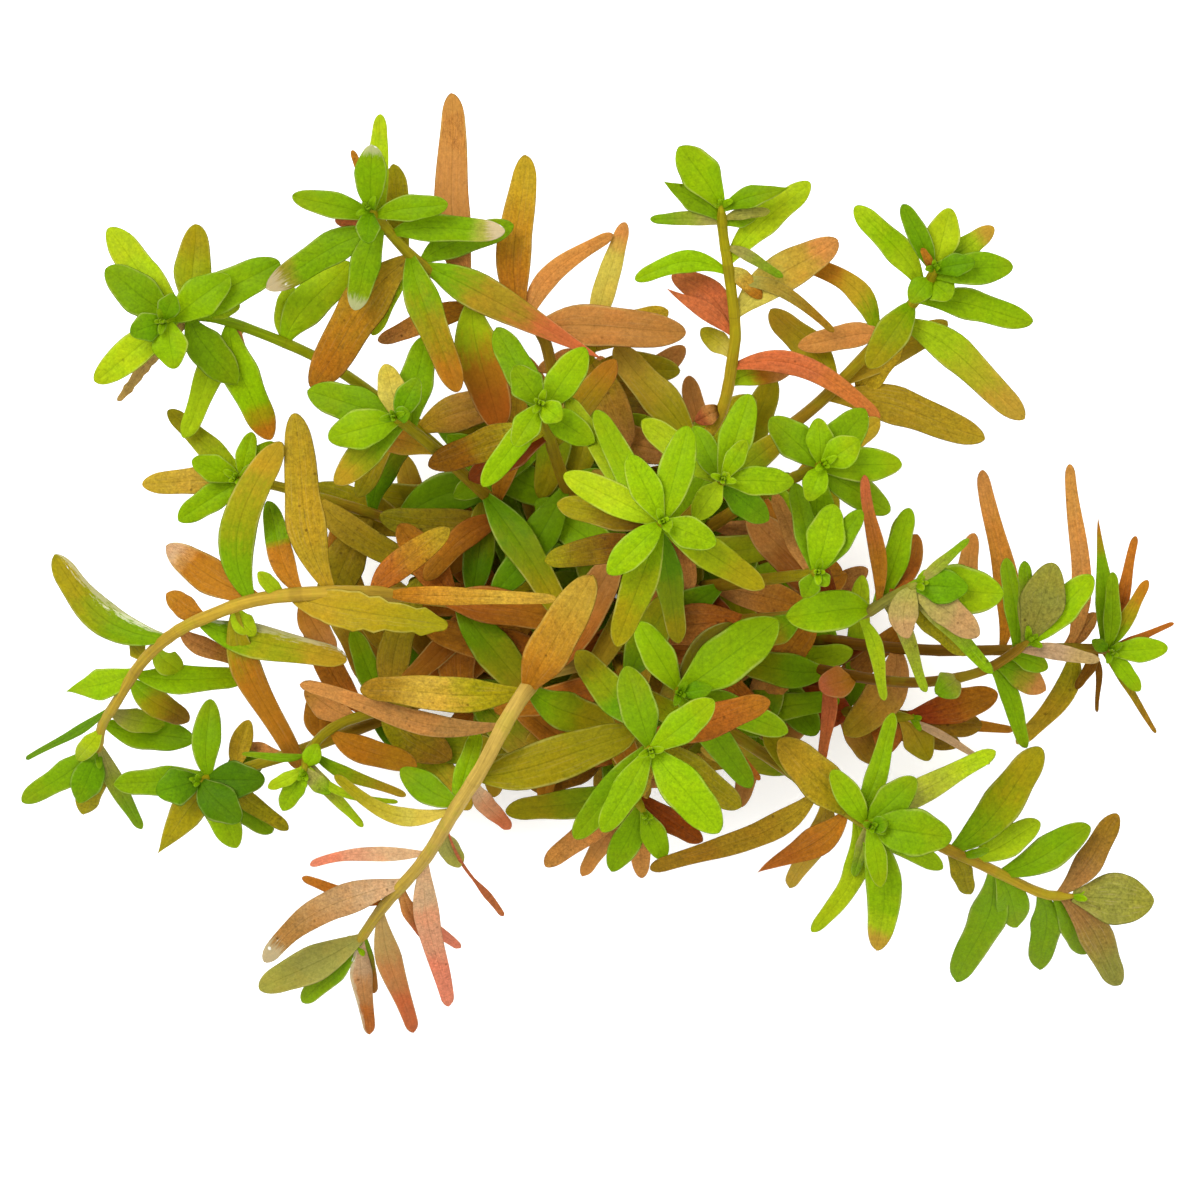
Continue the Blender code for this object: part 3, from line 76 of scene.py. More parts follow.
# %% The plan of the bunch
PLAN = """
shoot_north_west 1.5 0.95
stem -1.9,4.2,0 -2.6,9,12 -4,18,24 -5.5,25.9,30 -7.6,27.7,31.5 -12.7,30,33.5 -18.6,34.2,36
stem -21.8,37.7,38.5 -23.1,39.1,41
0.6 -23.3 35.7 3 2.4 dark
0.8 -22.8 45.5 3.5 3.2 green_whitetip
1.5 -15.2 39.6 2 2.6 green
2 -30.8 40.4 1 2.6 green
2.8 -22 48.6 -0.5 2.2 light
3 -24.8 45 0.5 1.2 rust
3.2 -24.6 29 -1.5 3 green_whitetip
3.5 -26.5 38 -1.5 1.8 pinkred
4 -33.4 31.2 -2.5 3.3 green_late_tan_whitetip
4.6 -9.5 36.9 1 2.8 green_late_palepink_whitetip
7 -20.6 43.6 -2 2.6 olive
7.5 -14.2 20.8 2.5 3.4 green_rust
8 -28.8 21.2 -6 4.6 ochre_rust
8 -22.8 26.5 -4 2.2 light
9 -8.7 37.6 -3 3 green
9.5 0.4 24 -1 3.7 green_pinkred_point
15 -14.8 50.7 -2.5 3.7 salmon_cracked
15.5 -10 17 -3 4.6 light_rust_rustred
17 -22.2 25.9 -5 2.4 rust_salmon
21 -7.4 44.5 -4 3.6 rust_ochre
21.5 1.3 36.6 -4 2.2 salmon -1.2
22.5 8.6 26.8 -2.5 4.2 salmon

shoot_west_upper 1.4 0.9
stem -4,3.2,0 -8,7,10 -15,14,19 -22,20,23.5 -28.1,24.1,26.5 -34.8,27,29 -39.1,28.3,31 -42,28.2,33
stem -43.7,27.9,36
0.3 -42.6 30.6 2 2.4 dark
0.8 -47 26.7 1.5 3 dark
1.2 -42.6 23.1 0.5 3.6 bright
2 -37 32.4 1.5 4 bright_green
2.5 -49.4 33.2 0.5 4 green
3 -50.5 21.8 -2 3.4 light
3.5 -32 33.8 1 4 bright_green
4 -49.2 37.2 -1 3.6 light
4.5 -36.4 21.6 -3 3.8 green
4.8 -48.2 19.9 -6 1.8 dead_ragged
5.5 -40.4 37.6 -1.5 3.6 light_olive
6.5 -36 29.5 0 1.6 light
9 -33 16 -4 3.6 bright_late_rust
10 -33.8 16.6 -5 2 salmon
10.5 -41.6 16.2 -5 2.8 light
15 -25 33.8 0.5 4 bright_light
15.5 -31 31.6 0.5 2.4 light

shoot_west_small 1.4 0.9
stem -4.9,0.8,0 -12,3.8,9 -21,8,16 -30,10.8,20 -35,12,22.5 -36.4,12.2,25
0.6 -33.4 12.8 1.5 2.4 green
1 -40.8 14 1.5 2.8 bright
1.2 -34.8 16.8 1 2 bright
1.5 -32.6 15.8 0 2.4 bright
2 -42.2 8 -1.5 2.8 bright
2.5 -43.2 19 -1 2.4 light_olive
3 -45.8 11.6 -2 2.8 gold

shoot_north_west_inner 1.6 1
stem -2,1.1,0 -5.5,5,15 -12,11,29 -17,15.5,37 -19.8,17.8,41 -20.6,18.3,44
0.4 -19 18.8 1.5 1.8 dark
1.5 -18.2 22.2 1 2.6 dark
2 -27.2 16.2 0 4 bright
3 -21.5 23.6 -1 2.8 pale
3.5 -26.5 11.6 -2 3.2 green_ochre
4 -29.2 21 -2 3.8 green
5 -17.4 26.4 -3 3.4 green
10 -25.2 17.2 -7 3 ochre_rustred

shoot_north_inner 1.6 1
stem 0.2,2.4,0 -1.4,6.5,17 -4,13,33 -5.6,18.2,44 -6,19.7,50
0.5 -3.8 18 1 2.6 bright
0.8 -8.6 23.4 1 3.4 green
1 -8.6 15.4 1 2.8 bright
3 -0.6 15.7 0 3 bright
3.5 -11.8 11.4 -1.5 2.6 bright
4 -1.4 25.2 -1 3.4 bright
4.5 -10.4 27.2 -2 3.2 green
9 -17.2 13.5 -5 3.4 olive_umber
10 -13 12 -9 3.2 redbrown
13 1.6 24 -6 3 olive_rust

shoot_centre 1.7 1.1
stem 0.3,0,0 1.6,2,20 4.4,5.4,42 6,7.5,55 6.3,7.9,60
0.2 7.2 7.2 0.8 1.2 bright
1.2 2.9 14.5 1 3.1 bright
1.3 11.6 5.6 0.5 3.2 bright
1.6 8.8 17.4 0.5 3.5 bright
1.8 0.8 2.6 0 3.1 bright
2.5 -3.6 12.6 -1 3.2 light
3.5 16.4 1.2 -3 3.2 bright_olive
4 1.6 -4.6 -4 3.4 bright_olive
4.5 -4.3 9.6 -4 3 umber_olive
7 7.9 -4.3 -9 2.9 dark_olive
9 -3.4 20.3 -6 2.8 light
9.3 -0.4 19 -5 3 bright
16 -5.5 4 -9 3 umber_olive

shoot_centre_east 1.6 1
stem 2.5,1.3,0 4.6,4,20 9.4,9,40 11.8,11.6,51 12.3,12.1,56
0.2 13 12.6 0.8 1.2 bright
0.8 14.6 16 1 2 bright
1.5 19.4 11.8 0 2.9 bright
1.6 9.4 8 0 2.7 light
1.8 15 20.6 0.5 3.3 bright
2.6 9.4 17.4 -1.5 2.6 green
3.4 4.2 18 -2 3 light
3.6 16.8 7.9 -3 3 dark
12 18.5 16.5 -6 3 green_olive

shoot_north_east_inner 1.6 1
stem 4.6,2.6,0 8,5.4,17 16,10.4,34 21,13,45 22.4,13.6,50
0.8 26 16 0.8 3.4 bright
0.8 20.8 9.9 0.8 2.6 bright
1.2 21.8 18.2 0.5 2.8 bright
1.8 17 18.2 0 3.6 green
2.4 30.2 13.6 -1 3.4 bright
2.8 26.6 19 -1 3.8 green
3 21.4 4 -3 3.4 bright
3.2 29 8.8 -3 3.2 green
9 28 18 -6 3 ochre

shoot_east_inner 1.6 1
stem 5,0.2,0 8.2,1,17 16,2,34 20.8,2.6,45 21.8,2.8,50
0.4 22.8 1.4 0.5 1.6 green
1.2 26.2 9 0.5 2.4 green
1.3 23.4 9.6 0.8 3.8 bright
1.5 20.4 0.2 -1 2.2 green
2 19.5 11.7 -1 2.4 green
5 17.4 10.7 -3 1.9 salmon

shoot_east 1.6 1
stem 4.9,-2.2,0 8.5,-2.2,14 15,-2,29 20,-1.6,35 26,-1.4,38.5 28.5,-0.1,40 31.9,1.7,43
0.8 30.9 -3.8 -0.5 3 grey_greypink 1.2
0.9 36.9 6.1 1 1.2 grey_green
1 36.8 1.2 0.5 3.6 dark
1.5 37.9 -3.6 0.5 3.1 grey_greypink
2 40.4 0.6 -0.5 5 bright
2.2 39.3 -7.3 -3 2 grey_green
3.5 37 -5.4 -5 2.8 olive
4 31.8 6.5 -4 2.6 rustred
5 32.6 -9.2 -7 1.6 grey_light
5.5 30.4 8.6 1 2.4 light
5.5 26.5 12.5 9 1.7 rust_pinkred -0.6
6 31 9.2 2.5 2.6 bright
6.5 18.6 -1.7 3 4.1 bright
8 28.5 -10 -8 1.6 light
10.5 13.3 7.2 4 4.2 redbrown_salmon
14.5 15.6 -4.3 0.5 2.8 green_rust

shoot_east_low 1.5 0.9
stem 7.3,-2.4,0 13,-5,12 22,-7,20 30,-8.2,23.5 35,-7.9,25 38.2,-7.1,26 40.3,-6,27 43,-4,29.5
0.8 45.4 3.7 2 4.4 greyolive
1 42.5 3.9 2 1.9 grey_green
1.2 49.3 2.4 1 3.4 bright
2 50 -6 1 1.7 palepink
2.2 40.6 4.2 -1 2.2 green
3.2 44.8 -6.8 -1 2.2 green
5 44.5 -9.1 -2 2.9 green_salmon
5.5 42.6 -14.8 -4 2 green
9 33.6 -9.4 2 3 grey_green
20 21.9 -8.8 5 3.2 rust_pinkred
23 22.2 -16.4 2 1.6 pinkred

shoot_east_far 1.5 0.9
stem 7.4,0.2,0 14,-2.4,9 24,-4.2,15 33,-5,17.5 40,-5,19 46,-4.8,20 50,-4.9,21 51.1,-5.2,23
0.5 49.2 -4 0.5 1.4 dark
0.8 51.3 2.8 2.5 1.8 green
0.9 56.8 -4.8 0.5 2.5 bright
1 54 -9.1 -1 1.8 bright
1.4 54.8 2 1.5 1.6 green_rust
1.5 57.4 -2.3 -1 0.9 rustred
1.6 49.8 8.3 2 2 green_late_rust_point
2.2 55.6 -13.3 -4 0.9 olive_brown
2.4 53.6 6.4 1 1.5 rustred
2.6 47.6 -8.9 -2 1.2 umber
3 49.7 -11.2 -4 0.7 umber
5 41.7 -14.4 -7 2.4 olive_ochre -1
5.3 47 13.6 -1 2.1 salmon
6 49.6 -1.3 -0.5 1.8 salmon
12 38.2 13 -2 2.5 rust_salmon
18 37.4 6.7 -1 2.6 salmon

shoot_south_east 1.7 0.9
stem 4,-5.4,0 10.5,-9.4,13 19,-15,21 27,-20.5,23.5 33.1,-24.1,23 38.2,-26.5,20.5 43.8,-29.2,17
stem 46,-29.6,16 47.6,-29.6,15.5
0.5 55.4 -30.2 -2 5.4 greyolive_streaked
1.5 52 -38.5 -8 3.4 tan_greyolive_streaked
2 51.8 -21.4 0 2.8 tan_brown
2.4 48.6 -35.4 -8 3.2 green
4 43.9 -36.9 -10 3.2 green
9 49 -22.6 -1 3.5 green
9.4 41.8 -32.6 -7 3.4 green
10 35.6 -38.1 -14 3.8 green
13 44 -22.2 -2 3 light
14 38.9 -25 3 1 green
15 44.2 -14.8 2 4 green_olive
15.5 37 -29.4 -5 2.2 olive

shoot_south_east_inner 1.6 1
stem 1.6,-5,0 6,-8.6,15 15,-14.5,26 23,-20,30.5 26.2,-22.2,32.5 27.2,-22.7,35.5
0.3 28.8 -22.2 1 1.8 dark
1 28.1 -28.7 -1 2.2 bright
1.5 35.2 -23.8 1 4.8 green
1.8 25.4 -27.6 -4 1.4 grey_green
2 23.2 -17 1 2.6 bright
2.2 31.6 -17.8 0.5 3.4 green
2.6 27.6 -35 -6 3.6 bright_light_late_gold -1.5
3 34.3 -26.8 -4 2.4 bright
4 21.2 -33.2 -6 2.4 light -1.5
4.2 29.4 -11.3 -2 2.2 bright
4.6 17.9 -13.9 1 4.2 olive_ochre
5 39.6 -15.2 -4 2.8 grey_light
5.2 15.7 -27.3 -9 3 rust_rustred_point
6.5 16.4 -13.4 -1 3 green_olive
8 18.9 -28.7 -14 2.6 ochre
9 5 -26.9 -9 2.6 ochre_brown -0.5

shoot_north_east 1.6 1
stem 2.7,4.2,0 8,8.5,13 16,15,24 22.1,19.9,28 27,25,31 31.3,29.7,34 32.9,31.8,36 33.5,33.2,38.5
0.5 37.5 33.8 1.5 2.3 dark
1 30.3 39.6 3 2.2 dark
1 32.2 35.2 2.5 0.9 rust
1.2 35 39.2 1 3.4 light
1.6 41.3 33.4 0 3.3 green
1.8 39.4 37.3 -1 2.4 green_light_gold
2 31 29.8 0.5 2.6 green
2.5 35.2 30.2 1 3.2 bright
4 25.5 39.4 2 2.8 light_bright_light
5.5 43.3 27.8 -1 3.1 bright
6 26.8 23.2 1.5 3.4 green_olive
11.6 19 34 1 2.3 green_ochre_rust 2.2
8.3 26 20.4 -5 3.4 ochre
8.5 42.5 18.2 -3 3.5 light_gold
10.5 19.8 25.4 -2 2.6 salmon
18 17 29 -3 3.2 olive_ochre
18 34.8 27.8 -1 3 ochre
19.5 38.5 16.2 -4 3.8 ochre

shoot_north 1.5 0.95
stem 0.4,4.8,0 4,9,14 9,14.5,25 12.1,18.8,29.5 13.3,24.5,33 13.5,27.6,34.5 12.9,32.7,36.5
stem 12.3,36.7,38.5 12.1,39.6,41
0.5 8 45.4 3 3.9 bright
0.8 19 41.3 2 2.2 green_point
2 6.3 41.9 1.5 2.6 green_point
2 17 38.9 1 1.2 greyolive
2.5 5 38.1 1 1.5 grey_green
2.6 15.6 38.4 -0.5 1.8 green
5.2 18.3 32.3 -1 1.2 grey_green
7 21 41.8 2 3 light
7.4 16.2 30.2 -1.5 1.7 pale_rust
8 3.5 32 0 2.2 bright 1.2
9 23.4 26.8 -2 1.4 grey_brown -1.2
14.4 7.2 32.5 -1.5 3 pinkred 1
12.5 23.8 36 0 3.9 pale_gold_salmon
14.6 6.6 31.2 0.5 1.8 pinkred_point
17 10.1 27.1 -2 2.2 pale_olive
18 28 18.2 2 2.4 pinkred -2
20 19.5 23.5 -3 2.8 light_rust_salmon
23 9.6 17.8 -2 2 umber_salmon_pinkred

shoot_north_bare 1.5 1.1
stem -1,6.8,0 -1.4,12,11 -1.4,19,19 -1.1,24.2,24 -0.8,27,27
1.5 2.5 37.8 1 2.4 pale_late_salmon
3 6.8 29 -1 3 ochre
3.2 -6.2 23 -2 1.8 salmon
6 8 23 -2 3.2 ochre_olive
9 -4.5 24.5 -5 3 umber
12 6 19.5 -5 3.2 olive_umber

shoot_west_arching 1.9 0.9
stem -4.6,-1.6,0 -8.5,-1,14 -15,0,26 -21,0.6,32 -28,0.7,34.5 -34.5,0,34 -39.6,-1.8,31
stem -42.7,-3.4,28.5 -45.7,-6.1,24.5 -48.6,-10.6,18.5 -49.8,-12.6,15 -50.2,-15.4,11
0.5 -52.2 -20.2 -3 3.4 dark
1 -51.6 -21.4 -7 3 olive
1.5 -57.8 -20.2 -8 2.8 green
1.8 -45.9 -22.9 -9 2 grey_green
4.5 -52.3 -16 -5 2 light
5.5 -40.6 -14 -3 3.3 bright_green
8 -43.6 -12.6 -5 2.4 grey_light
9.5 -57.4 -15.9 -13 1 dark
14 -41.2 -12.2 -8 2.8 bright_olive_brown
15 -35.4 -7.8 -4 2.9 bright
15.5 -53.4 -9.2 -7 3.2 bright_point
18 -46.9 -4.2 -2 1.8 olive
20 -42 -7.2 -6 2.6 light
22 -54.6 4.5 -4 3.5 green_olive_wet -2
24 -35.9 -6.2 -7 2 salmon
26.5 -25.3 -6 -2 3.4 green_ochre_damp
27.5 -43.3 0.7 -4 2.4 rust
31 -34.6 -3.6 -3 2.2 light
31 -30 -16.9 -13 3 olive_rust_rust
33 -31.8 15.8 3 3.8 green_ochre -2.5
34 -43.4 5.3 -5 3.6 rust_late_palepink_cracked
36.5 -34.2 2.8 1 1.6 light
37 -15.2 -2.6 2 4.2 ochre_olive_ragged
38 -33.2 9.9 -3 2.6 rust_sharp_green
38.5 -26.8 -5.6 -7 2.8 rust_salmon
41 -30.6 18.7 2 3.9 ochre
45 -15.1 7.2 -1 2.9 rustred_ochre
46.5 -4.3 0.1 5 1.9 rust_gold

shoot_south_west 1.6 1
stem -5.6,-4,0 -12.5,-7.5,9 -22,-12,14 -31,-15.4,16 -37.5,-17.4,17.5 -40.2,-18.1,20
0.4 -36 -22.2 1 4 darkest
0.6 -44.4 -19.2 1 3.9 darkest_dark
1.2 -33.5 -18 0.5 3.8 darkest
1.5 -39 -9.9 0.5 2.9 green
2 -36.4 -24.8 -4 3.2 bright
2.4 -48.6 -18.4 -3 3 green
2.6 -32.8 -23.3 -5 3 green
3 -44.3 -25.4 -6 3.4 olive_point
3.2 -31.2 -23 -4 2 olive
3.6 -33.6 -15.8 -2 3.4 green
5 -35.2 -12 -3 2.2 ochre
10 -36.8 -15.2 -3 2.6 salmon
14 -28 -8.6 -3 3 rust

shoot_south_west_inner 1.5 0.9
stem -3.3,-4.4,0 -10,-7,12 -19,-10.2,19 -26,-12.4,21.5 -29,-15,23 -29.6,-17.4,25
0.8 -27 -19.4 0 1.8 grey_green
1 -33.2 -18.8 -1 1.4 light
1 -28.2 -14.4 0.5 2 bright
1.2 -20.2 -20.2 -0.5 0.9 light 1
1.5 -31.8 -21 -2 2.2 bright
2 -23.7 -22.7 -3 1.4 grey_light
2.5 -35.8 -15.4 -1 0.9 green
3 -19.4 -19.6 -2 1.4 green_ochre
6 -18.3 -16.6 -3 2.8 rust
9 -29.5 -9 -3 3 salmon
12 -15 -16 -4 4.2 olive_brown
13 -24.8 -3 0 2.6 green

shoot_south_south_west 2.1 1
stem -0.9,-4.8,0 -2.6,-6,16 -4.8,-7,30 -6.8,-8.3,37 -9.2,-11.8,39.5 -11.9,-16.9,38 -14.6,-21.1,34
stem -17.2,-25.4,28.5 -19.4,-28.1,24 -21.8,-30.8,19 -24.2,-34.3,12.5
0.6 -29.8 -40.2 -8 2.7 green
1.2 -23 -43.4 -11 2.2 palepink_rustred_wet
1.5 -34.1 -38.9 -8 3.7 grey_spotted
2 -22.6 -39.3 -8 1.8 green_rust
7.5 -18.6 -43.2 -14 2.6 dead_pinkred
9 -29.8 -27.8 -6 1.5 rustred
12 -14 -34.8 -13 1.6 palepink_coral
13 -16.8 -34.9 -9 1.5 salmon_red
14 -33.6 -36.2 -12 3.2 palepink_tan_whitetip 2.5
19 -15.1 -40.6 -19 2.6 palepink_coral
20 -29 -26.5 -6 1.5 palepink_coral 1.2
24 -14 -26.7 -5 2.2 grey
25 -9.7 -31.6 -14 1.2 pinkred_spoon
27.5 -26.5 -17.5 -7 1.8 pale_olive -2
28 -12.2 -13 -1 2.2 bright
28.5 -20 -17 -2 3 green
32 -9 -22.9 -9 2 palepink_pinkred
32.5 3.7 -13.2 -1 4.6 olive
38.5 -30 -8.4 -8 2.3 tan_salmon
43 -0.8 2.5 8 4.4 rust_gold
43 -24 -9 -1 3.6 olive_gold_brown 0.5
43.5 1.4 -12.8 -5 3.8 green_olive

shoot_south 1.6 1
stem 0.4,-2.4,0 1.4,-5,18 3.4,-10,35 4.8,-14.2,46 5.1,-15.1,50
0.8 11.4 -10 0.5 3.3 bright
1.2 2.6 -6.6 0.5 3.7 green
1.3 0.2 -23.2 0 3 bright
1.5 12 -23.2 0 4.2 bright
2.8 -2.6 -23.8 -3 3.2 green
3 4.2 -19.6 -3 1.6 ochre
5.5 17 -10.1 -2 3.4 rustred
6 14 -20.8 -6 3.4 olive
8 -2.4 -5.2 -7 3.4 dark_olive

shoot_centre_south 1.6 1
stem 2.5,-1.2,0 4.2,-3.4,16 6.2,-6.4,31 7.8,-8.8,40 8,-9.3,44
0.3 11.2 -8.8 0.5 1.8 dark
1 17.8 -2 -1 5 bright
2 3.8 -2.2 0.5 3.2 bright
3 13.5 -2.4 2 4.2 darkolive
3.5 18.8 -13.2 -4 3.2 bright
7 15.2 -18.7 -6 3.2 green
8 16 -18 -8 1.4 rustred
10 16 -12.5 -6 3.2 redbrown

shoot_south_low 1.5 0.9
stem -1.8,-1.6,0 -1.6,-7,10 0.6,-14,17 3.4,-19.5,20.5 4.6,-21.5,22
1 6.4 -26 -1 2.6 bright
1.5 1.1 -27.1 -3 3 green
3 4.2 -27.8 -6 2.4 salmon
3.2 10.2 -24.2 -3 2.4 redbrown
4.2 -5.5 -26.6 -6 2.8 salmon
4.6 -1.7 -27.6 -8 2.4 salmon
5 -1.4 -20.6 1 1.2 tan
9 -6.8 -19 -3 3 umber

shoot_east_south 1.5 1.1
stem 6.3,-4.7,0 13,-8.2,8 22,-10.8,13 31.5,-11.8,15.5
1 39.8 -9.4 2 3.4 deepred_rust
1.4 39 -16.4 3 0.9 palepink
1.5 33 -16 0 3.2 ochre_olive
2 38.2 -12.6 -1 3.2 brown
2.5 27 -10 1.5 3.4 olive_ochre_rust
3 28.5 -15.5 0 3.2 rustred
3.5 41.4 -13 -4 1.6 rust
6 36 -14.5 -2 3 brown
6.5 17.6 -10.4 -1 4.6 deepred_redbrown
7 20.2 -5.8 -1 3 darkolive_umber
8 28 -16.5 -2 3.2 salmon_brown
8.5 26.5 -6.5 -1 3.2 deepred_salmon_brown
9.5 17.4 -6.2 0 3.2 redbrown
"""

# %% Read the plan
LEAF_NUMBERS = 7


def read_plan(text):
    """Each shoot's stem thickness, stem route and leaves. A leaf is its numbers and its colour words."""
    shoots = {}
    for line in text.split("\n"):
        first, *rest = line.split() or [""]
        if first.startswith("shoot"):
            shoot = {"thickness": [float(v) for v in rest], "stem": [], "leaves": []}
            shoots[first] = shoot
        elif first == "stem":
            shoot["stem"] += [[float(v) for v in point.split(",")] for point in rest]
        elif first:
            x, y, rise, width, tint, *form = rest
            numbers = [float(v) for v in (first, x, y, rise, width, *form)]
            numbers += [0.0] * (LEAF_NUMBERS - len(numbers))
            shoot["leaves"].append((numbers, tint))
    return shoots


SHOOTS = read_plan(PLAN)
print(sum(len(shoot["leaves"]) for shoot in SHOOTS.values()), "leaves planned on", len(SHOOTS), "stems")

# %% [markdown]
# ## The middle line of a leaf
# A leaf leaves its stem at a slant, arches over and droops a little at its end. A cubic Bezier curve
# from the stem's middle to the leaf's tip does all of that with four points, and it is smooth.

# %% Points along a stem and along a leaf
ROOT_OFFSET = 0.12
LEAVES_WITH_STEM = 0.42
DROOP = 0.12
HANDLE = 0.36


def along(path, back):
    """The point that lies back millimetres from the tip of a stem, and the stem's direction there."""
    for end, start in zip(path[::-1], path[-2::-1]):
        step = end - start
        if back <= step.length or start is path[0]:
            return end - step.normalized() * min(back, step.length), step.normalized()
        back -= step.length


def midline(path, leaf, lift=0.0, arch=0.0, swing=0.0):
    """The four control points of a leaf's middle line, a cubic Bezier curve from stem to tip."""
    back, x, y, rise, _, bend, _ = leaf
    root, stem_way = along(path, back)
    tip = seen(x, y, max(root.z + rise + lift, 0.0))
    root = root + (tip - root).normalized() * ROOT_OFFSET
    reach = tip - root
    turn = math.radians(swing)
    tip.x = root.x + reach.x * math.cos(turn) - reach.y * math.sin(turn)
    tip.y = root.y + reach.x * math.sin(turn) + reach.y * math.cos(turn)
    reach = tip - root
    length = reach.length
    way = reach.normalized()
    side = way.cross(Vector((0, 0, 1))).normalized() * bend
    raised = Vector((0, 0, arch))
    first = root + (way + stem_way * LEAVES_WITH_STEM) * length * HANDLE + side + raised
    last = tip - (way - Vector((0, 0, DROOP))) * length * HANDLE + side + raised
    return root, first, last, tip


def on_curve(points, s):
    """The place at s, from 0 at the root to 1 at the tip, and the curve's direction there."""
    a, b, c, d = points
    r = 1 - s
    place = a * r**3 + b * 3 * r * r * s + c * 3 * r * s * s + d * s**3
    way = (b - a) * 3 * r * r + (c - b) * 6 * r * s + (d - c) * 3 * s * s
    return place, way.normalized()


# %% [markdown]
# ## The outline of a leaf
# A stout leaf, about twice as long as wide, is an oval. A slender one, six times as long, is widest
# nearer its root and tapers to a narrow blunt tip. The others lie between these two. The numbers say how
# far along a leaf is widest, what share of its width it has lost by the tip, and what it has at the root.

# %% The outline of a leaf
STOUT, SLENDER = 2.0, 6.0
WIDEST_STOUT, WIDEST_SLENDER = 0.52, 0.35
TAPER_STOUT, TAPER_SLENDER = 0.22, 0.52
ROOT_SHARE = 0.22
TIP_ROUNDING = 2.1
FULLEST_ROUNDING = 0.6


def width_share(s, width, length):
    """The share of its full width that a leaf has at s. Broad leaves are oval and long ones taper."""
    slender = min(max((length / width - STOUT) / (SLENDER - STOUT), 0), 1)
    widest = WIDEST_STOUT + (WIDEST_SLENDER - WIDEST_STOUT) * slender
    taper = TAPER_STOUT + (TAPER_SLENDER - TAPER_STOUT) * slender
    if s < widest:
        share = ROOT_SHARE + (1 - ROOT_SHARE) * math.sin(math.pi / 2 * s / widest)
    else:
        share = 1 - taper * (s - widest) / (1 - widest)
    rounded = min(TIP_ROUNDING * (1 - taper) * width / 2 / length, FULLEST_ROUNDING)
    past = max(s - 1 + rounded, 0) / rounded
    return share * math.sqrt(max(1 - past * past, 0))


print("A leaf 3 mm wide and 12 long is", round(3 * width_share(0.8, 3, 12), 2), "mm wide near its tip")

# %% [markdown]
# ## Keeping leaves out of each other
# A real bunch has no leaf that passes through another, because each one pushes its neighbours aside.
# Here each leaf is laid in turn, from the highest down. A coarse blade, a little thicker than the leaf,
# is tested against everything already laid, and the leaf is lifted, arched or swung by the least that
# frees it. The solids were settled by the same rule, so the fine leaves come out in the same places.

# %% A coarse blade
LEAF_THICKNESS = 0.45
LEAF_FOLD = 0.07
LEAF_SECTIONS = (0.3, 0.66, 0.91)
PLAIN_SECTIONS = (0.36, 0.83)
PLAIN_WIDTH = 2.4
PLAIN_LENGTH = 11.0


def axes_of(way, roll):
    """The directions across a leaf and up out of its face, for a leaf turned on edge by roll."""
    side = way.cross(Vector((0, 0, 1)))
    if side.length < 0.05:
        side = Vector((1, 0, 0))
    side.normalize()
    face = side.cross(way)
    turn = math.radians(roll)
    return side * math.cos(turn) + face * math.sin(turn), face * math.cos(turn) - side * math.sin(turn)


def blade(points, width, roll, gap=0.0, start=0.0):
    """A leaf as a closed body of three-cornered sections: two edges and the rib under its middle."""
    length = (points[3] - points[0]).length
    plain = width < PLAIN_WIDTH or length < PLAIN_LENGTH
    sections = PLAIN_SECTIONS if plain else LEAF_SECTIONS
    root, way = on_curve(points, start)
    corners = [root - way * gap]
    for s in sections:
        if s <= start:
            continue
        share = width_share(s, width, length)
        centre, way = on_curve(points, s)
        edge, up = axes_of(way, roll)
        half = width * share / 2 + gap
        corners.append(centre - edge * half + up * (LEAF_FOLD * width * share + gap))
        corners.append(centre + edge * half + up * (LEAF_FOLD * width * share + gap))
        corners.append(centre - up * (LEAF_THICKNESS * (0.5 + share / 2) + gap))
    tip, way = on_curve(points, 1.0)
    corners.append(tip + way * gap)
    faces = [(0, 1 + k, 1 + (k + 1) % 3) for k in range(3)]
    rings = (len(corners) - 2) // 3
    for ring in range(rings - 1):
        a = 1 + ring * 3
        for k in range(3):
            m = (k + 1) % 3
            faces.append((a + m, a + k, a + 3 + k))
            faces.append((a + m, a + 3 + k, a + 3 + m))
    last = 1 + (rings - 1) * 3
    end = len(corners) - 1
    for k in range(3):
        faces.append((last + (k + 1) % 3, last + k, end))
    return corners, faces


# %% A coarse stem
TUBE_SIDES = 6


def frames_along(route):
    """Two directions across a route at each of its points, which don't twist along the way."""
    across = (route[1] - route[0]).orthogonal()
    frames = []
    for i in range(len(route)):
        way = (route[min(i + 1, len(route) - 1)] - route[max(i - 1, 0)]).normalized()
        across = (across - way * across.dot(way)).normalized()
        frames.append((across, way.cross(across)))
    return frames


def ring_faces(rings, sides, first=0):
    """Quads between neighbouring rings of points, from the point numbered first on."""
    faces = []
    for a in range(first, first + (rings - 1) * sides, sides):
        for k in range(sides):
            m = (k + 1) % sides
            faces.append((a + k, a + m, a + sides + m, a + sides + k))
    return faces


def tube(path, thickness, tip_thickness, gap):
    """A stem's surface as a six-sided tube."""
    corners = []
    for i, (place, (across, other)) in enumerate(zip(path, frames_along(path))):
        radius = (thickness + (tip_thickness - thickness) * i / (len(path) - 1)) / 2 + gap
        for k in range(TUBE_SIDES):
            turn = math.radians(360 / TUBE_SIDES * k)
            corners.append(place + (across * math.cos(turn) + other * math.sin(turn)) * radius)
    return corners, ring_faces(len(path), TUBE_SIDES)


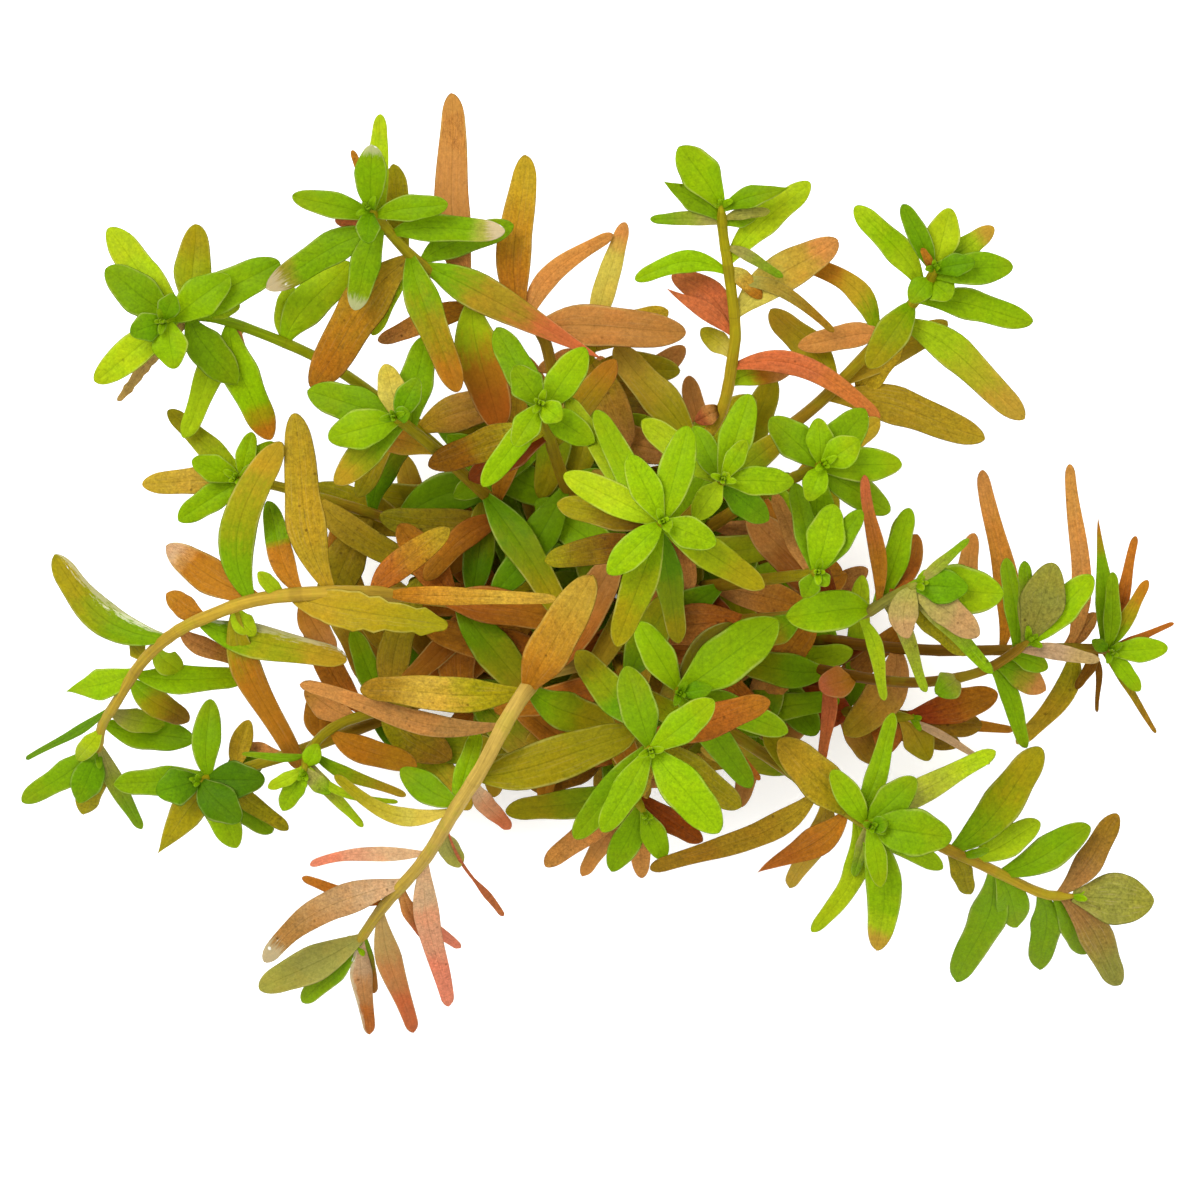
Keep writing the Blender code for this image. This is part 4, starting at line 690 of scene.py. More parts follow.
# %% The test of two pieces
class Obstacle:
    """The surface of something already placed, for the test of whether a leaf lies clear of it."""

    def __init__(self, shoot, corners, faces):
        self.shoot = shoot
        self.low = [min(c[i] for c in corners) for i in range(3)]
        self.high = [max(c[i] for c in corners) for i in range(3)]
        self.tree = BVHTree.FromPolygons(corners, faces)

    def meets(self, other):
        """Whether the two surfaces cut each other. Boxes that are apart settle most cases quickly."""
        for i in range(3):
            if self.low[i] > other.high[i] or other.low[i] > self.high[i]:
                return False
        return bool(self.tree.overlap(other.tree))


# %% [markdown]
# A leaf first tries the place that the plan gives. Then come small lifts, arches and swings, in order of
# how far they take it from there. Its outer part also keeps clear of its own shoot where that can be had.

# %% Settle one leaf
GAP = 0.16
OUTER_PART = 0.35
LIFTS = (0.0, -0.7, 0.7, -1.5, 1.5, -2.4, 2.4, -3.4, 3.4, -4.5, 4.5, -6.0, 6.0)
ARCHES = (0.0, -1.0, 1.0, -2.2, 2.2)
SWINGS = (0.0, -4.0, 4.0, -9.0, 9.0)
ARCH_COST = 0.8
SWING_COST = 0.3


def is_clear(shoot, points, width, roll, placed, own_too):
    """Whether a leaf stays above the surface and out of everything in placed."""
    body = Obstacle(shoot, *blade(points, width, roll, GAP))
    if body.low[2] < -GAP:
        return False
    outer = Obstacle(shoot, *blade(points, width, roll, 0.0, OUTER_PART))
    for whole, end in placed:
        if whole.shoot != shoot:
            if body.meets(whole):
                return False
        elif own_too and outer.meets(end):
            return False
    return True


def settle_leaf(shoot, path, leaf, placed):
    """The middle line nearest to the one asked for that passes through nothing, or None."""
    width, roll = leaf[4], leaf[6]
    tries = [
        (abs(lift) + abs(arch) * ARCH_COST + abs(swing) * SWING_COST, lift, arch, swing)
        for lift in LIFTS
        for arch in ARCHES
        for swing in SWINGS
    ]
    tries.sort()
    for own_too in (True, False):
        for _, lift, arch, swing in tries:
            points = midline(path, leaf, lift, arch, swing)
            if is_clear(shoot, points, width, roll, placed, own_too):
                return points
    return None


# %% [markdown]
# Stems that would pass through each other are pushed apart where they come nearest, a little at a time,
# while their cut ends and tips stay where they are.

# %% Stems apart from each other
STEM_GAP = 0.3
STEM_ROUNDS = 120
PUSH_SHARE = 0.55


def nearest(a, b, c, d):
    """How far along a to b and along c to d those two stretches come nearest to each other."""
    along_one, along_two, between = b - a, d - c, a - c
    one, two = along_one.length_squared, along_two.length_squared
    cross = along_one.dot(along_two)
    toward_one, toward_two = along_one.dot(between), along_two.dot(between)
    spread = one * two - cross * cross
    s = 0.5 if spread < 1e-9 else min(max((cross * toward_two - two * toward_one) / spread, 0), 1)
    t = min(max((cross * s + toward_two) / two, 0), 1)
    s = min(max((cross * t - toward_one) / one, 0), 1)
    return s, t


def part_pair(one, m, two, n, apart):
    """Pushes stretch m of one path and stretch n of another apart, and says how far."""
    s, t = nearest(one[m], one[m + 1], two[n], two[n + 1])
    here = one[m].lerp(one[m + 1], s)
    there = two[n].lerp(two[n + 1], t)
    off = here - there
    if off.length >= apart:
        return 0.0
    way = off.normalized() if off.length > 0.01 else Vector((0, 0, 1))
    push = way * (apart - off.length) * PUSH_SHARE
    for path, k, share, move in ((one, m, s, push), (two, n, t, -push)):
        for place, part in ((k, 1 - share), (k + 1, share)):
            if 0 < place < len(path) - 1:
                path[place] += move * part
    return push.length


def part_stems(paths):
    """Moves stems that would pass through each other apart, leaving their two ends where they are."""
    names = list(paths)
    for _ in range(STEM_ROUNDS):
        moved = 0.0
        for i, one in enumerate(names):
            for two in names[i + 1 :]:
                apart = (SHOOTS[one]["thickness"][0] + SHOOTS[two]["thickness"][0]) / 2 + STEM_GAP
                for m in range(len(paths[one]) - 1):
                    for n in range(len(paths[two]) - 1):
                        moved = max(moved, part_pair(paths[one], m, paths[two], n, apart))
        if moved < 0.01:
            break
    return moved


# %% [markdown]
# ## The leaves that nobody sees singly
# Lower down, a rotala stem carries a pair of leaves every few millimetres, each pair turned from the
# one above. In the bunch's thick middle they are what fills the gaps with brown and dark green, so
# they are set by a rule instead of one by one.

# %% Lower leaves by rule
THICK_X, THICK_Y = 1.5, 0.5
THICK_HALF_X, THICK_HALF_Y = 31.0, 27.0
CEILING_MIDDLE, CEILING_EDGE = 36.0, 21.0
PAIR_STEP = 3.1
PAIR_TURN = 137.5
FIRST_PAIR, LOWEST_PAIR = 4.0, 5.0
LOWER_LENGTH = (9.0, 15.0)
LOWER_WIDTH = (2.6, 4.2)
LOWER_RISE = (-3.0, 4.0)
LOWER_BEND = (-1.2, 1.2)


def scatter(number, low, high):
    """A value between low and high that looks random but is the same on every run."""
    share = math.sin(number * 12.9898) * 43758.5453
    return low + (high - low) * (share - math.floor(share))


def in_thick_middle(x, y, z):
    """Whether a place is in the bunch's middle, an oval under a ceiling that comes down to its edge."""
    out = math.hypot((x - THICK_X) / THICK_HALF_X, (y - THICK_Y) / THICK_HALF_Y)
    return out < 1 and z < CEILING_MIDDLE + (CEILING_EDGE - CEILING_MIDDLE) * out


def lower_leaves(path, first):
    """Rows like those of the table for one stem's lower leaves, in pairs down the stem."""
    whole = sum((b - a).length for a, b in zip(path, path[1:]))
    rows = []
    back, pair = FIRST_PAIR, first
    while back < whole:
        root, _ = along(path, back)
        back += PAIR_STEP
        pair += 1
        if root.z < LOWEST_PAIR or not in_thick_middle(root.x, root.y, root.z):
            continue
        for half in (0, 180):
            number = pair * 2 + half / 180
            turn = math.radians(pair * PAIR_TURN + half)
            length = scatter(number, *LOWER_LENGTH)
            rise = scatter(number + 0.31, *LOWER_RISE)
            x = root.x + math.cos(turn) * length
            y = root.y + math.sin(turn) * length
            if not in_thick_middle(x, y, root.z + rise):
                continue
            nearer = 1 - (root.z + rise) / EYE_HEIGHT
            place = (x + MIDDLE_X) / nearer, (y + MIDDLE_Y) / nearer
            width = scatter(number + 0.57, *LOWER_WIDTH)
            bend = scatter(number + 0.83, *LOWER_BEND)
            rows.append((back - PAIR_STEP, *place, rise, width, bend, 0.0))
    return rows


# %% What colour the lower leaves are
LOWER_PLACES = (
    (-12, 9, ("green_dark", "dark_olive", "bright_green")),
    (-21, 6, ("rust_ochre", "rustred_rust", "ochre_olive")),
    (12, -1, ("redbrown_rust", "green_olive", "rustred_salmon")),
    (24, -5, ("salmon_rust", "green_light", "pinkred_salmon")),
    (22, -13, ("rust_salmon", "light_green", "salmon_ochre")),
    (4, -16, ("ochre_rust", "bright_olive", "green_gold")),
    (-8, -8, ("rustred_rust", "dark_olive", "green_ochre")),
    (4, 22, ("ochre_salmon", "olive_gold", "rust_ochre")),
    (20, 14, ("bright_green", "light_olive", "ochre_rust")),
)


def lower_tint(x, y, number):
    """The colour words for a leaf set by rule, from the kind of leaf that the photo shows near there."""
    nearby = min(LOWER_PLACES, key=lambda place: math.hypot(place[0] - x, place[1] - y))
    return nearby[2][number % 3] + "_lower"


# %% Lay every leaf
def leaves_by_height(paths):
    """All leaves in the order in which they are laid: the planned ones first, then from the highest."""
    queue = []
    for name, shoot in SHOOTS.items():
        for leaf, tint in shoot["leaves"]:
            root, _ = along(paths[name], leaf[0])
            queue.append((False, -(root.z + leaf[3]), len(queue), name, leaf, tint))
        for leaf in lower_leaves(paths[name], len(queue)):
            root, _ = along(paths[name], leaf[0])
            tint = lower_tint(leaf[1], leaf[2], len(queue))
            queue.append((True, -(root.z + leaf[3]), len(queue), name, leaf, tint))
    return sorted(queue)


def settle_all():
    """The stems' routes, and for each shoot its leaves' middle lines, widths, turns and colour words."""
    paths = {name: [seen(*place) for place in shoot["stem"]] for name, shoot in SHOOTS.items()}
    part_stems(paths)
    placed = []
    for name, shoot in SHOOTS.items():
        stem = Obstacle(name, *tube(paths[name], *shoot["thickness"], GAP))
        placed.append((stem, stem))
    laid = {name: [] for name in SHOOTS}
    for _, _, _, name, leaf, tint in leaves_by_height(paths):
        points = settle_leaf(name, paths[name], leaf, placed)
        if points is None:
            continue
        width, roll = leaf[4], leaf[6]
        laid[name].append((points, width, roll, tint))
        whole = Obstacle(name, *blade(points, width, roll))
        placed.append((whole, Obstacle(name, *blade(points, width, roll, 0.0, OUTER_PART))))
    return paths, laid


paths, laid = settle_all()
print(sum(len(leaves) for leaves in laid.values()), "leaves laid")

# %% [markdown]
# ## Colours
# Rotala leaves are lime green in strong light, then turn ochre, orange and red from one end to the
# other as they age. Each leaf therefore gets a colour at its root, one in its middle and one at its tip.
# The plan names them with words, and this table says what the words mean. Words that aren't in it tell
# of a leaf's form or state, such as `point` for a pointed tip or `late` for a turn near the tip.

# %% Colour words
PAINTS = {
    "light": (160, 186, 15),
    "bright": (136, 174, 1),
    "green": (118, 156, 1),
    "dark": (98, 142, 0),
    "darkest": (74, 114, 0),
    "olive": (150, 140, 10),
    "darkolive": (108, 98, 3),
    "gold": (184, 150, 48),
    "ochre": (175, 145, 30),
    "rust": (172, 112, 22),
    "salmon": (192, 132, 64),
    "rustred": (172, 98, 26),
    "redbrown": (130, 58, 3),
    "deepred": (152, 62, 18),
    "greypink": (172, 138, 88),
    "red": (196, 86, 56),
    "pinkred": (187, 100, 54),
    "coral": (206, 122, 91),
    "palepink": (195, 160, 118),
    "greyolive": (140, 138, 55),
    "grey": (156, 152, 70),
    "pale": (196, 180, 72),
    "straw": (202, 168, 78),
    "tan": (160, 116, 57),
    "brown": (144, 108, 20),
    "umber": (112, 72, 4),
    "dead": (184, 150, 84),
}
# The light is strong enough to wash the white floor out, so the paints are dimmed by as much.
PAINT_STRENGTH = 0.78
# Leaves set by rule lie deep inside the bunch, and their paints are dimmed a little more as painted shade.
LOWER_PAINTED_SHADE = 0.96


def linear(colour):
    """A colour as Blender's shaders take it, from the 0 to 255 of a picture."""
    steps = [((v / 255 + 0.055) / 1.055) ** 2.4 if v > 10 else v / 255 / 12.92 for v in colour]
    return tuple(v * PAINT_STRENGTH for v in steps)


def blend(one, two, share):
    """A colour on the way from one to two."""
    return tuple(a + (b - a) * share for a, b in zip(one, two))


# %% The colours of one leaf
def colours_of(tint, number):
    """The root, middle and tip colours for a leaf's colour words."""
    words = [word for word in tint.split("_") if word in PAINTS]
    root, tip = PAINTS[words[0]], PAINTS[words[-1]]
    middle = PAINTS[words[1]] if len(words) == 3 else blend(root, tip, 0.5)
    if len(words) == 1:
        tip = blend(tip, PAINTS["olive"], scatter(number + 0.2, 0.0, 0.2))
    # Leaves set by rule also get the painted shade of the bunch's inside.
    strength = scatter(number + 0.4, 0.95, 1.05) * (LOWER_PAINTED_SHADE if "lower" in tint else 1.0)
    return [linear([v * strength for v in colour]) for colour in (root, middle, tip)]


def turn_of(tint, number):
    """How far along its leaf the colour turns, and over how long a part of it."""
    if "sharp" in tint:
        return 0.55, 0.05
    if "late" in tint:
        return 0.8, 0.12
    return scatter(number + 0.6, 0.4, 0.62), 0.32


def words_green(tint):
    """Whether a leaf is green at its root, which only fresh leaves are."""
    return tint.split("_")[0] in ("bright", "light", "green", "dark", "darkest")


print(len(PAINTS), "colour words")

# %% [markdown]
# ## A fine leaf blade
# The blade is one closed surface: rings of points across the leaf, from the root to a rounded tip. The
# upper face has a narrow groove along the midrib and the lower face has the rib itself, the edges are
# thin and roll down a little, and a slow wave runs along them. Making the rings with numpy keeps
# several hundred leaves quick. Each point also remembers how far along and across its leaf it is, and
# the leaf's own colours, because that is what the tissue's shader paints from.

# %% The outline and the section of a blade
STATIONS = 26
ACROSS = np.array([-1.0, -0.93, -0.66, -0.34, -0.09, 0.0, 0.09, 0.34, 0.66, 0.93, 1.0])
BLADE_THICKNESS = 0.22
RIB_DEPTH = 0.13
GROOVE_DEPTH = 0.05


def outline(reach, width, length, tint, number):
    """The shares of its full width that a leaf has at each place in reach, with its own small waves."""
    shares = np.array([width_share(s, width, length) for s in reach])
    if "point" in tint:
        shares *= np.minimum(1, (1 - reach) / 0.5) ** 0.7
    if "spoon" in tint:
        shares *= 0.3 + 0.7 * np.clip((reach - 0.55) / 0.2, 0, 1)
    if "ragged" in tint:
        shares *= 1 - 0.35 * reach * np.abs(np.sin(reach * 23 + number))
    return shares * (1 + 0.035 * np.sin(reach * scatter(number + 0.25, 9, 17) + number))


def rings_of(points, width, roll, tint, number):
    """The rings of a leaf's points, upper face then lower face, and how far along each ring is."""
    reach = np.linspace(0, 1, STATIONS)
    s = reach * reach * (3 - 2 * reach)
    length = (points[3] - points[0]).length
    half = width / 2 * outline(s, width, length, tint, number)
    frames = [on_curve(points, value) for value in s]
    centre = np.array([place for place, _ in frames])
    axes = [axes_of(way, roll) for _, way in frames]
    side = np.array([edge for edge, _ in axes])
    up = np.array([face for _, face in axes])
    u = ACROSS[None, :]
    h = half[:, None]
    fold = scatter(number + 0.3, 0.02, 0.2)
    wave = 0.04 * width * np.sin(s[:, None] * scatter(number + 0.5, 7, 13) + number) * u * np.abs(u)
    lift = fold * h * np.abs(u) - 0.12 * h * np.abs(u) ** 4 + wave
    groove = GROOVE_DEPTH * np.exp(-((u / 0.11) ** 2)) * (h / (width / 2))
    rib = RIB_DEPTH * np.exp(-((u / 0.16) ** 2)) * (1.15 - s[:, None])
    thin = BLADE_THICKNESS * (1 - 0.72 * u**2) * (0.45 + 0.55 * h / (width / 2))
    out = side[:, None, :] * (h * u)[:, :, None]
    upper = centre[:, None, :] + out + up[:, None, :] * (lift + thin / 2 - groove)[:, :, None]
    lower = centre[:, None, :] + out + up[:, None, :] * (lift - thin / 2 - rib)[:, :, None]
    return upper, lower[:, -2:0:-1], s


# %% [markdown]
# ## Buds
# At the growing tip the youngest leaves still stand close together, each pair crosswise to the one
# below it. A pair is given by its length, how far it has opened, its turn round the stem and how far
# below the tip it sits.

# %% Buds at the growing tips
BUD_PAIRS = ((1.8, 46, 0.0, 0.3), (1.3, 26, 90.0, 0.15), (0.9, 10, 0.0, 0.0))
BUD_WIDTH = 0.42
BUD_TURN = 50
BUD_DEPTH = 0.25


def bud_leaves(path, number, tint):
    """The smallest leaves, in pairs that still stand close around the growing tip."""
    way = (path[-1] - path[-2]).normalized()
    across = way.orthogonal().normalized()
    other = way.cross(across)
    buds = []
    for length, opened, turned, below in BUD_PAIRS:
        for half in (0, 180):
            turn = math.radians(turned + half + number * BUD_TURN)
            out = across * math.cos(turn) + other * math.sin(turn)
            lean = math.radians(opened)
            root = path[-1] - way * (below + BUD_DEPTH)
            tip = root + (way * math.cos(lean) + out * math.sin(lean)) * length
            first = root + way * length * 0.3 + out * length * 0.16 * math.sin(lean)
            last = tip - (way * math.cos(lean) * 0.2 + out * math.sin(lean)) * length * 0.42
            buds.append(((root, first, last, tip), length * BUD_WIDTH, 0.0, tint))
    return buds


# %% Meshes that carry numbers and colours
def closed_faces(rings, sides, first):
    """Quads around a tube of rings, and one flat face at each end."""
    start = tuple(range(first, first + sides))
    end = tuple(range(first + (rings - 1) * sides, first + rings * sides))
    return ring_faces(rings, sides, first) + [start[::-1], end]


def smooth_mesh(name, places, faces):
    mesh = bpy.data.meshes.new(name)
    mesh.from_pydata(np.asarray(places) * MM, [], faces)
    mesh.polygons.foreach_set("use_smooth", [True] * len(mesh.polygons))
    return mesh


def put_numbers(mesh, name, values):
    layer = mesh.attributes.new(name, "FLOAT", "POINT")
    layer.data.foreach_set("value", np.asarray(values, np.float32))


def put_colours(mesh, name, values):
    layer = mesh.attributes.new(name, "FLOAT_COLOR", "POINT")
    rows = np.ones((len(values), 4), np.float32)
    rows[:, :3] = values
    layer.data.foreach_set("color", rows.ravel())


def soft_step(values):
    """A smooth rise from 0 to 1, as a column that colours can be multiplied by."""
    shares = np.clip(values, 0, 1)
    return (shares * shares * (3 - 2 * shares))[:, None]


# %% [markdown]
# ## What a leaf tells the shader
# Every point carries its place along and across its leaf, and the leaf's colours and state. A wet leaf
# has 1 where the softened edge is on its right and -1 where it is on its left.

# %% The numbers and colours of one leaf
STREAKED_WHEN_OLD = 0.4
SPOTTED_WHEN_GREEN = 0.3
SEED_STEP = 0.61


def leaf_numbers(tint, number):
    """What is the same all over one leaf: its turn of colour, its state, and a number of its own."""
    turn_at, turn_over = turn_of(tint, number)
    streaked = 0.0 if words_green(tint) else STREAKED_WHEN_OLD
    spotted = scatter(number + 0.7, 0.0, 1.0)
    return {
        "turn_at": turn_at,
        "turn_over": turn_over,
        "wet": float("wet" in tint) - float("damp" in tint),
        "white_tip": float("whitetip" in tint),
        "cracked": float("cracked" in tint),
        "streaked": 1.0 if "streaked" in tint else streaked,
        "spotted": spotted * (SPOTTED_WHEN_GREEN if words_green(tint) else 1.0),
        "seed": number * SEED_STEP,
    }


def leaf_colours(tint, number, s):
    """The three colours of a leaf, and the colour that light has after passing through it."""
    root, middle, tip = np.array(colours_of(tint, number))
    turn_at, turn_over = turn_of(tint, number)
    turned = (s - turn_at) / turn_over
    glow = root + (middle - root) * soft_step(turned + 1)
    glow = glow + (tip - glow) * soft_step(turned)
    shown = {"root_colour": root, "middle_colour": middle, "tip_colour": tip, "glow_colour": glow}
    return {key: np.broadcast_to(value, (len(s), 3)) for key, value in shown.items()}


# %% Join the blades of one shoot
def leaf_mesh(name, leaves):
    """All leaves of one shoot as one mesh."""
    places, faces, numbers, colours = [], [], [], []
    u = np.concatenate([ACROSS, ACROSS[-2:0:-1]])
    for k, (points, width, roll, tint) in enumerate(leaves):
        number = len(name) * 7 + k + 1
        upper, lower, s = rings_of(points, width, roll, tint, number)
        places.append(np.concatenate([upper, lower], axis=1).reshape(-1, 3))
        faces += closed_faces(STATIONS, len(u), STATIONS * len(u) * k)
        s = np.repeat(s, len(u))
        own = {key: np.full(len(s), value) for key, value in leaf_numbers(tint, number).items()}
        numbers.append({"along_leaf": s, "across_leaf": np.tile(u, STATIONS), **own})
        colours.append(leaf_colours(tint, number, s))
    mesh = smooth_mesh(name, np.concatenate(places), faces)
    for key in numbers[0]:
        put_numbers(mesh, key, np.concatenate([leaf[key] for leaf in numbers]))
    for key in colours[0]:
        put_colours(mesh, key, np.concatenate([leaf[key] for leaf in colours]))
    return mesh


print(STATIONS * (2 * len(ACROSS) - 2), "points in each leaf")

# %% [markdown]
# ## A fine stem
# A rotala stem is round and soft, with faint ridges along it and a slightly thicker ring at each pair
# of leaves, where old leaf scars stay. It is green near the tip and tan to brown below. The stem is a
# tube of rings along a smooth curve through the same points as the solid's.

# %% A smooth route
STEM_STEP = 0.9


def smooth_route(path):
    """Points about a millimetre apart on a Catmull-Rom curve through a stem's own points."""
    ends = [path[0] * 2 - path[1], *path, path[-1] * 2 - path[-2]]
    points = []
    for a, b, c, d in zip(ends, ends[1:], ends[2:], ends[3:]):
        steps = max(2, round((c - b).length / STEM_STEP))
        for k in range(steps):
            t = k / steps
            bend, twist = a * 2 - b * 5 + c * 4 - d, b * 3 - a - c * 3 + d
            points.append(0.5 * (b * 2 + (c - a) * t + bend * t**2 + twist * t**3))
    points.append(path[-1].copy())
    return points


# %% [markdown]
# A stem's colour words are for its cut end, its middle and its tip. The table names the stems that
# differ from the usual ones.

# %% The stem's rings
STEM_SIDES = 14
RIDGES, RIDGE_HEIGHT = 5, 0.03
JOINT_SWELLING, JOINT_REACH = 0.07, 0.55
TIP_START, TIP_LENGTH = 0.35, 2.5
USUAL_STEM = "umber_brown_olive"
STEM_TINTS = {
    "shoot_north": "umber_ochre_olive",
    "shoot_west_upper": "umber_olive_green",
    "shoot_west_arching": "brown_gold_ochre",
    "shoot_south_south_west": "gold_straw_ochre",
    "shoot_south_east": "umber_brown_ochre",
    "shoot_east_low": "umber_umber_brown",
    "shoot_east_far": "umber_umber_brown",
    "shoot_east": "umber_brown_greyolive",
}


def stem_mesh(name, path, thickness, tip_thickness, joints, tint):
    """A stem as rings of points, thicker at each joint and narrowing at the growing tip."""
    route = smooth_route(path)
    travelled = [0.0]
    for a, b in zip(route, route[1:]):
        travelled.append(travelled[-1] + (b - a).length)
    whole = travelled[-1]
    places, along_stem, near_joint, turns = [], [], [], []
    for i, (place, (across, other)) in enumerate(zip(route, frames_along(route))):
        share, back = travelled[i] / whole, whole - travelled[i]
        near = max(math.exp(-(((back - joint) / JOINT_REACH) ** 2)) for joint in joints)
        radius = (thickness + (tip_thickness - thickness) * share) / 2 * (1 + JOINT_SWELLING * near)
        radius *= min(1.0, TIP_START + back / TIP_LENGTH)
        for k in range(STEM_SIDES):
            turn = 2 * math.pi * k / STEM_SIDES
            ridge = 1 + RIDGE_HEIGHT * math.cos(turn * RIDGES)
            spot = place + (across * math.cos(turn) + other * math.sin(turn)) * radius * ridge
            places.append((spot.x, spot.y, max(spot.z, 0.0) if i else 0.0))
            turns.append(turn)
            along_stem.append(share)
            near_joint.append(near)
    mesh = smooth_mesh(name, places, closed_faces(len(route), STEM_SIDES, 0))
    put_numbers(mesh, "along_stem", along_stem)
    put_numbers(mesh, "joint", near_joint)
    put_numbers(mesh, "side_one", np.cos(turns))
    put_numbers(mesh, "side_two", np.sin(turns))
    root, middle, tip = np.array(colours_of(tint, len(name)))
    share = np.array(along_stem)
    body = root + (middle - root) * soft_step(share * 2)
    put_colours(mesh, "body_colour", body + (tip - body) * soft_step(share * 2 - 1))
    return mesh


print(len(STEM_TINTS), "stems have colours of their own")

# %% [markdown]
# ## Shader sums as Python
# A shader is a net of nodes, and a formula such as `1 - mask * 0.3` takes three of them. This small
# class wraps a node's output, so that the formula can be written as it is read.

# %% Sums of sockets
class Shade:
    """A value in a material's node tree. Sums and products of it add Math nodes."""

    def __init__(self, tree, socket):
        self.tree = tree
        self.socket = socket

    def math(self, operation, *others):
        """Adds one Math node that works on this value and the others."""
        node = self.tree.nodes.new("ShaderNodeMath")
        node.operation = operation
        for slot, value in zip(node.inputs, (self, *others)):
            join(self.tree, slot, value)
        return Shade(self.tree, node.outputs[0])

    def __add__(self, other):
        return self.math("ADD", other)

    __radd__ = __add__

    def __mul__(self, other):
        return self.math("MULTIPLY", other)

    __rmul__ = __mul__

    def __sub__(self, other):
        return self.math("SUBTRACT", other)

    def __rsub__(self, other):
        return self.math("MULTIPLY", -1.0).math("ADD", other)

    def size(self):
        """The value without its sign."""
        return self.math("ABSOLUTE")


def join(tree, slot, value):
    """Links a value of the tree to a socket, or sets the socket to a plain number or colour."""
    if isinstance(value, Shade):
        tree.links.new(value.socket, slot)
    else:
        slot.default_value = value


# %% Materials
class Tissue:
    """A material with one Principled shader, and the few kinds of node that this bunch needs."""

    def __init__(self, name):
        self.material = bpy.data.materials.new(name)
        self.material.use_nodes = True
        self.tree = self.material.node_tree
        self.shader = self.tree.nodes["Principled BSDF"]
        self.output = self.tree.nodes["Material Output"]

    def node(self, kind, settings=None, sockets=None, result=0):
        """Adds a node: its type, its settings, then the values or links of its sockets."""
        node = self.tree.nodes.new(kind)
        for key, value in (settings or {}).items():
            setattr(node, key, value)
        for key, value in (sockets or {}).items():
            join(self.tree, node.inputs[key], value)
        return Shade(self.tree, node.outputs[result])

    def number(self, attribute):
        return self.node("ShaderNodeAttribute", {"attribute_name": attribute}, result="Fac")

    def colour(self, attribute):
        return self.node("ShaderNodeAttribute", {"attribute_name": attribute}, result="Color")

    def mix(self, share, one, two, way="MIX"):
        settings = {"data_type": "RGBA", "blend_type": way, "clamp_factor": True}
        return self.node("ShaderNodeMix", settings, {0: share, 6: one, 7: two}, result=2)

    def smooth(self, value, low, high):
        """0 below low, 1 above high, and a smooth rise between them."""
        sockets = {"Value": value, "From Min": low, "From Max": high}
        return self.node("ShaderNodeMapRange", {"interpolation_type": "SMOOTHSTEP"}, sockets)

    def noise(self, where, scale, detail=3.0, rough=0.6):
        sockets = {"Vector": where, "Scale": scale, "Detail": detail, "Roughness": rough}
        return self.node("ShaderNodeTexNoise", None, sockets)

    def joined(self, *parts):
        """A point made of three values."""
        return self.node("ShaderNodeCombineXYZ", None, dict(enumerate(parts)))

    def dimmed(self, colour, value):
        """A colour made darker or brighter by a value."""
        grey = self.node("ShaderNodeCombineColor", None, {0: value, 1: value, 2: value})
        return self.mix(1.0, colour, grey, "MULTIPLY")

    def relief(self, height, strength, depth):
        """Feeds the shader's normal with a bump."""
        sockets = {"Strength": strength, "Distance": depth, "Height": height}
        self.feed("Normal", self.node("ShaderNodeBump", None, sockets))

    def feed(self, slot, value):
        join(self.tree, self.shader.inputs[slot], value)

    def let_light_through(self, share, attribute):
        """Mixes in a shader for light that comes through from behind, in one plain colour."""
        glow = self.node("ShaderNodeBsdfTranslucent", None, {"Color": self.colour(attribute)})
        solid = Shade(self.tree, self.shader.outputs[0])
        mixed = self.node("ShaderNodeMixShader", None, {0: share, 1: solid, 2: glow})
        self.tree.links.new(mixed.socket, self.output.inputs["Surface"])


# %% [markdown]
# ## Leaf tissue
# A fresh leaf is a thin wet sheet: it lets some light through, which is why shaded leaves glow green
# instead of going grey, and it has a soft gloss. Its patterns follow either the place in space, for
# grain and specks, or the place on the leaf, for what runs along it.

# %% Patterns that the leaf tissue follows
leaf = Tissue("leaf_tissue")
s = leaf.number("along_leaf")
u = leaf.number("across_leaf")
from_rib = u.size()
seed = leaf.number("seed")
spotted = leaf.number("spotted")
place = leaf.node("ShaderNodeTexCoord", result="Object")
broad = leaf.noise(place, 260.0)
fine = leaf.noise(place, 1500.0, 4.0, 0.7)
cells = leaf.noise(place, 3000.0, 3.0, 0.7)
grain = leaf.noise(place, 5200.0, 2.0)
streak = leaf.noise(leaf.joined(s * 4.0, u * 3.2, seed), 2.4, 5.0, 0.68)
stripes = leaf.noise(leaf.joined(s * 1.6, u * 8.0, seed), 2.0, 4.0, 0.6)
print(len(leaf.tree.nodes), "nodes for the patterns")

# %% [markdown]
# The colour runs from the root's to the tip's with a ragged border between them. Redder clouds, a fine
# grain and, on old leaves, pale stripes along them go on top.

# %% Colour from root to tip
REDDER = (1.2, 1.03, 0.95, 1)
PALE_STREAK = (0.52, 0.38, 0.20, 1)

over = leaf.number("turn_over")
ragged = s + ((broad - 0.5) * 1.1 + (streak - 0.5) * 1.0) * over
turned = (ragged - leaf.number("turn_at")).math("DIVIDE", over)
near_root, near_tip = leaf.smooth(turned, -1.0, 0.0), leaf.smooth(turned, 0.0, 1.0)
colour = leaf.mix(near_root, leaf.colour("root_colour"), leaf.colour("middle_colour"))
colour = leaf.mix(near_tip, colour, leaf.colour("tip_colour"))
redder = leaf.mix(1.0, colour, REDDER, "MULTIPLY")
colour = leaf.mix(leaf.smooth(broad, 0.42, 0.66) * 0.6, colour, redder)
rough = 0.15 + spotted * 0.20
shade = 1.04 + (fine - 0.5) * rough * 2.4 + (streak - 0.5) * rough * 2.2
shade = shade + (cells - 0.5) * rough * 3.0 + (grain - 0.5) * rough * 3.0
colour = leaf.dimmed(colour, shade)
paler = leaf.mix(0.5, colour, PALE_STREAK)
striped = leaf.smooth(stripes, 0.52, 0.72) * leaf.number("streaked")
colour = leaf.mix(striped * 0.55, colour, paler)
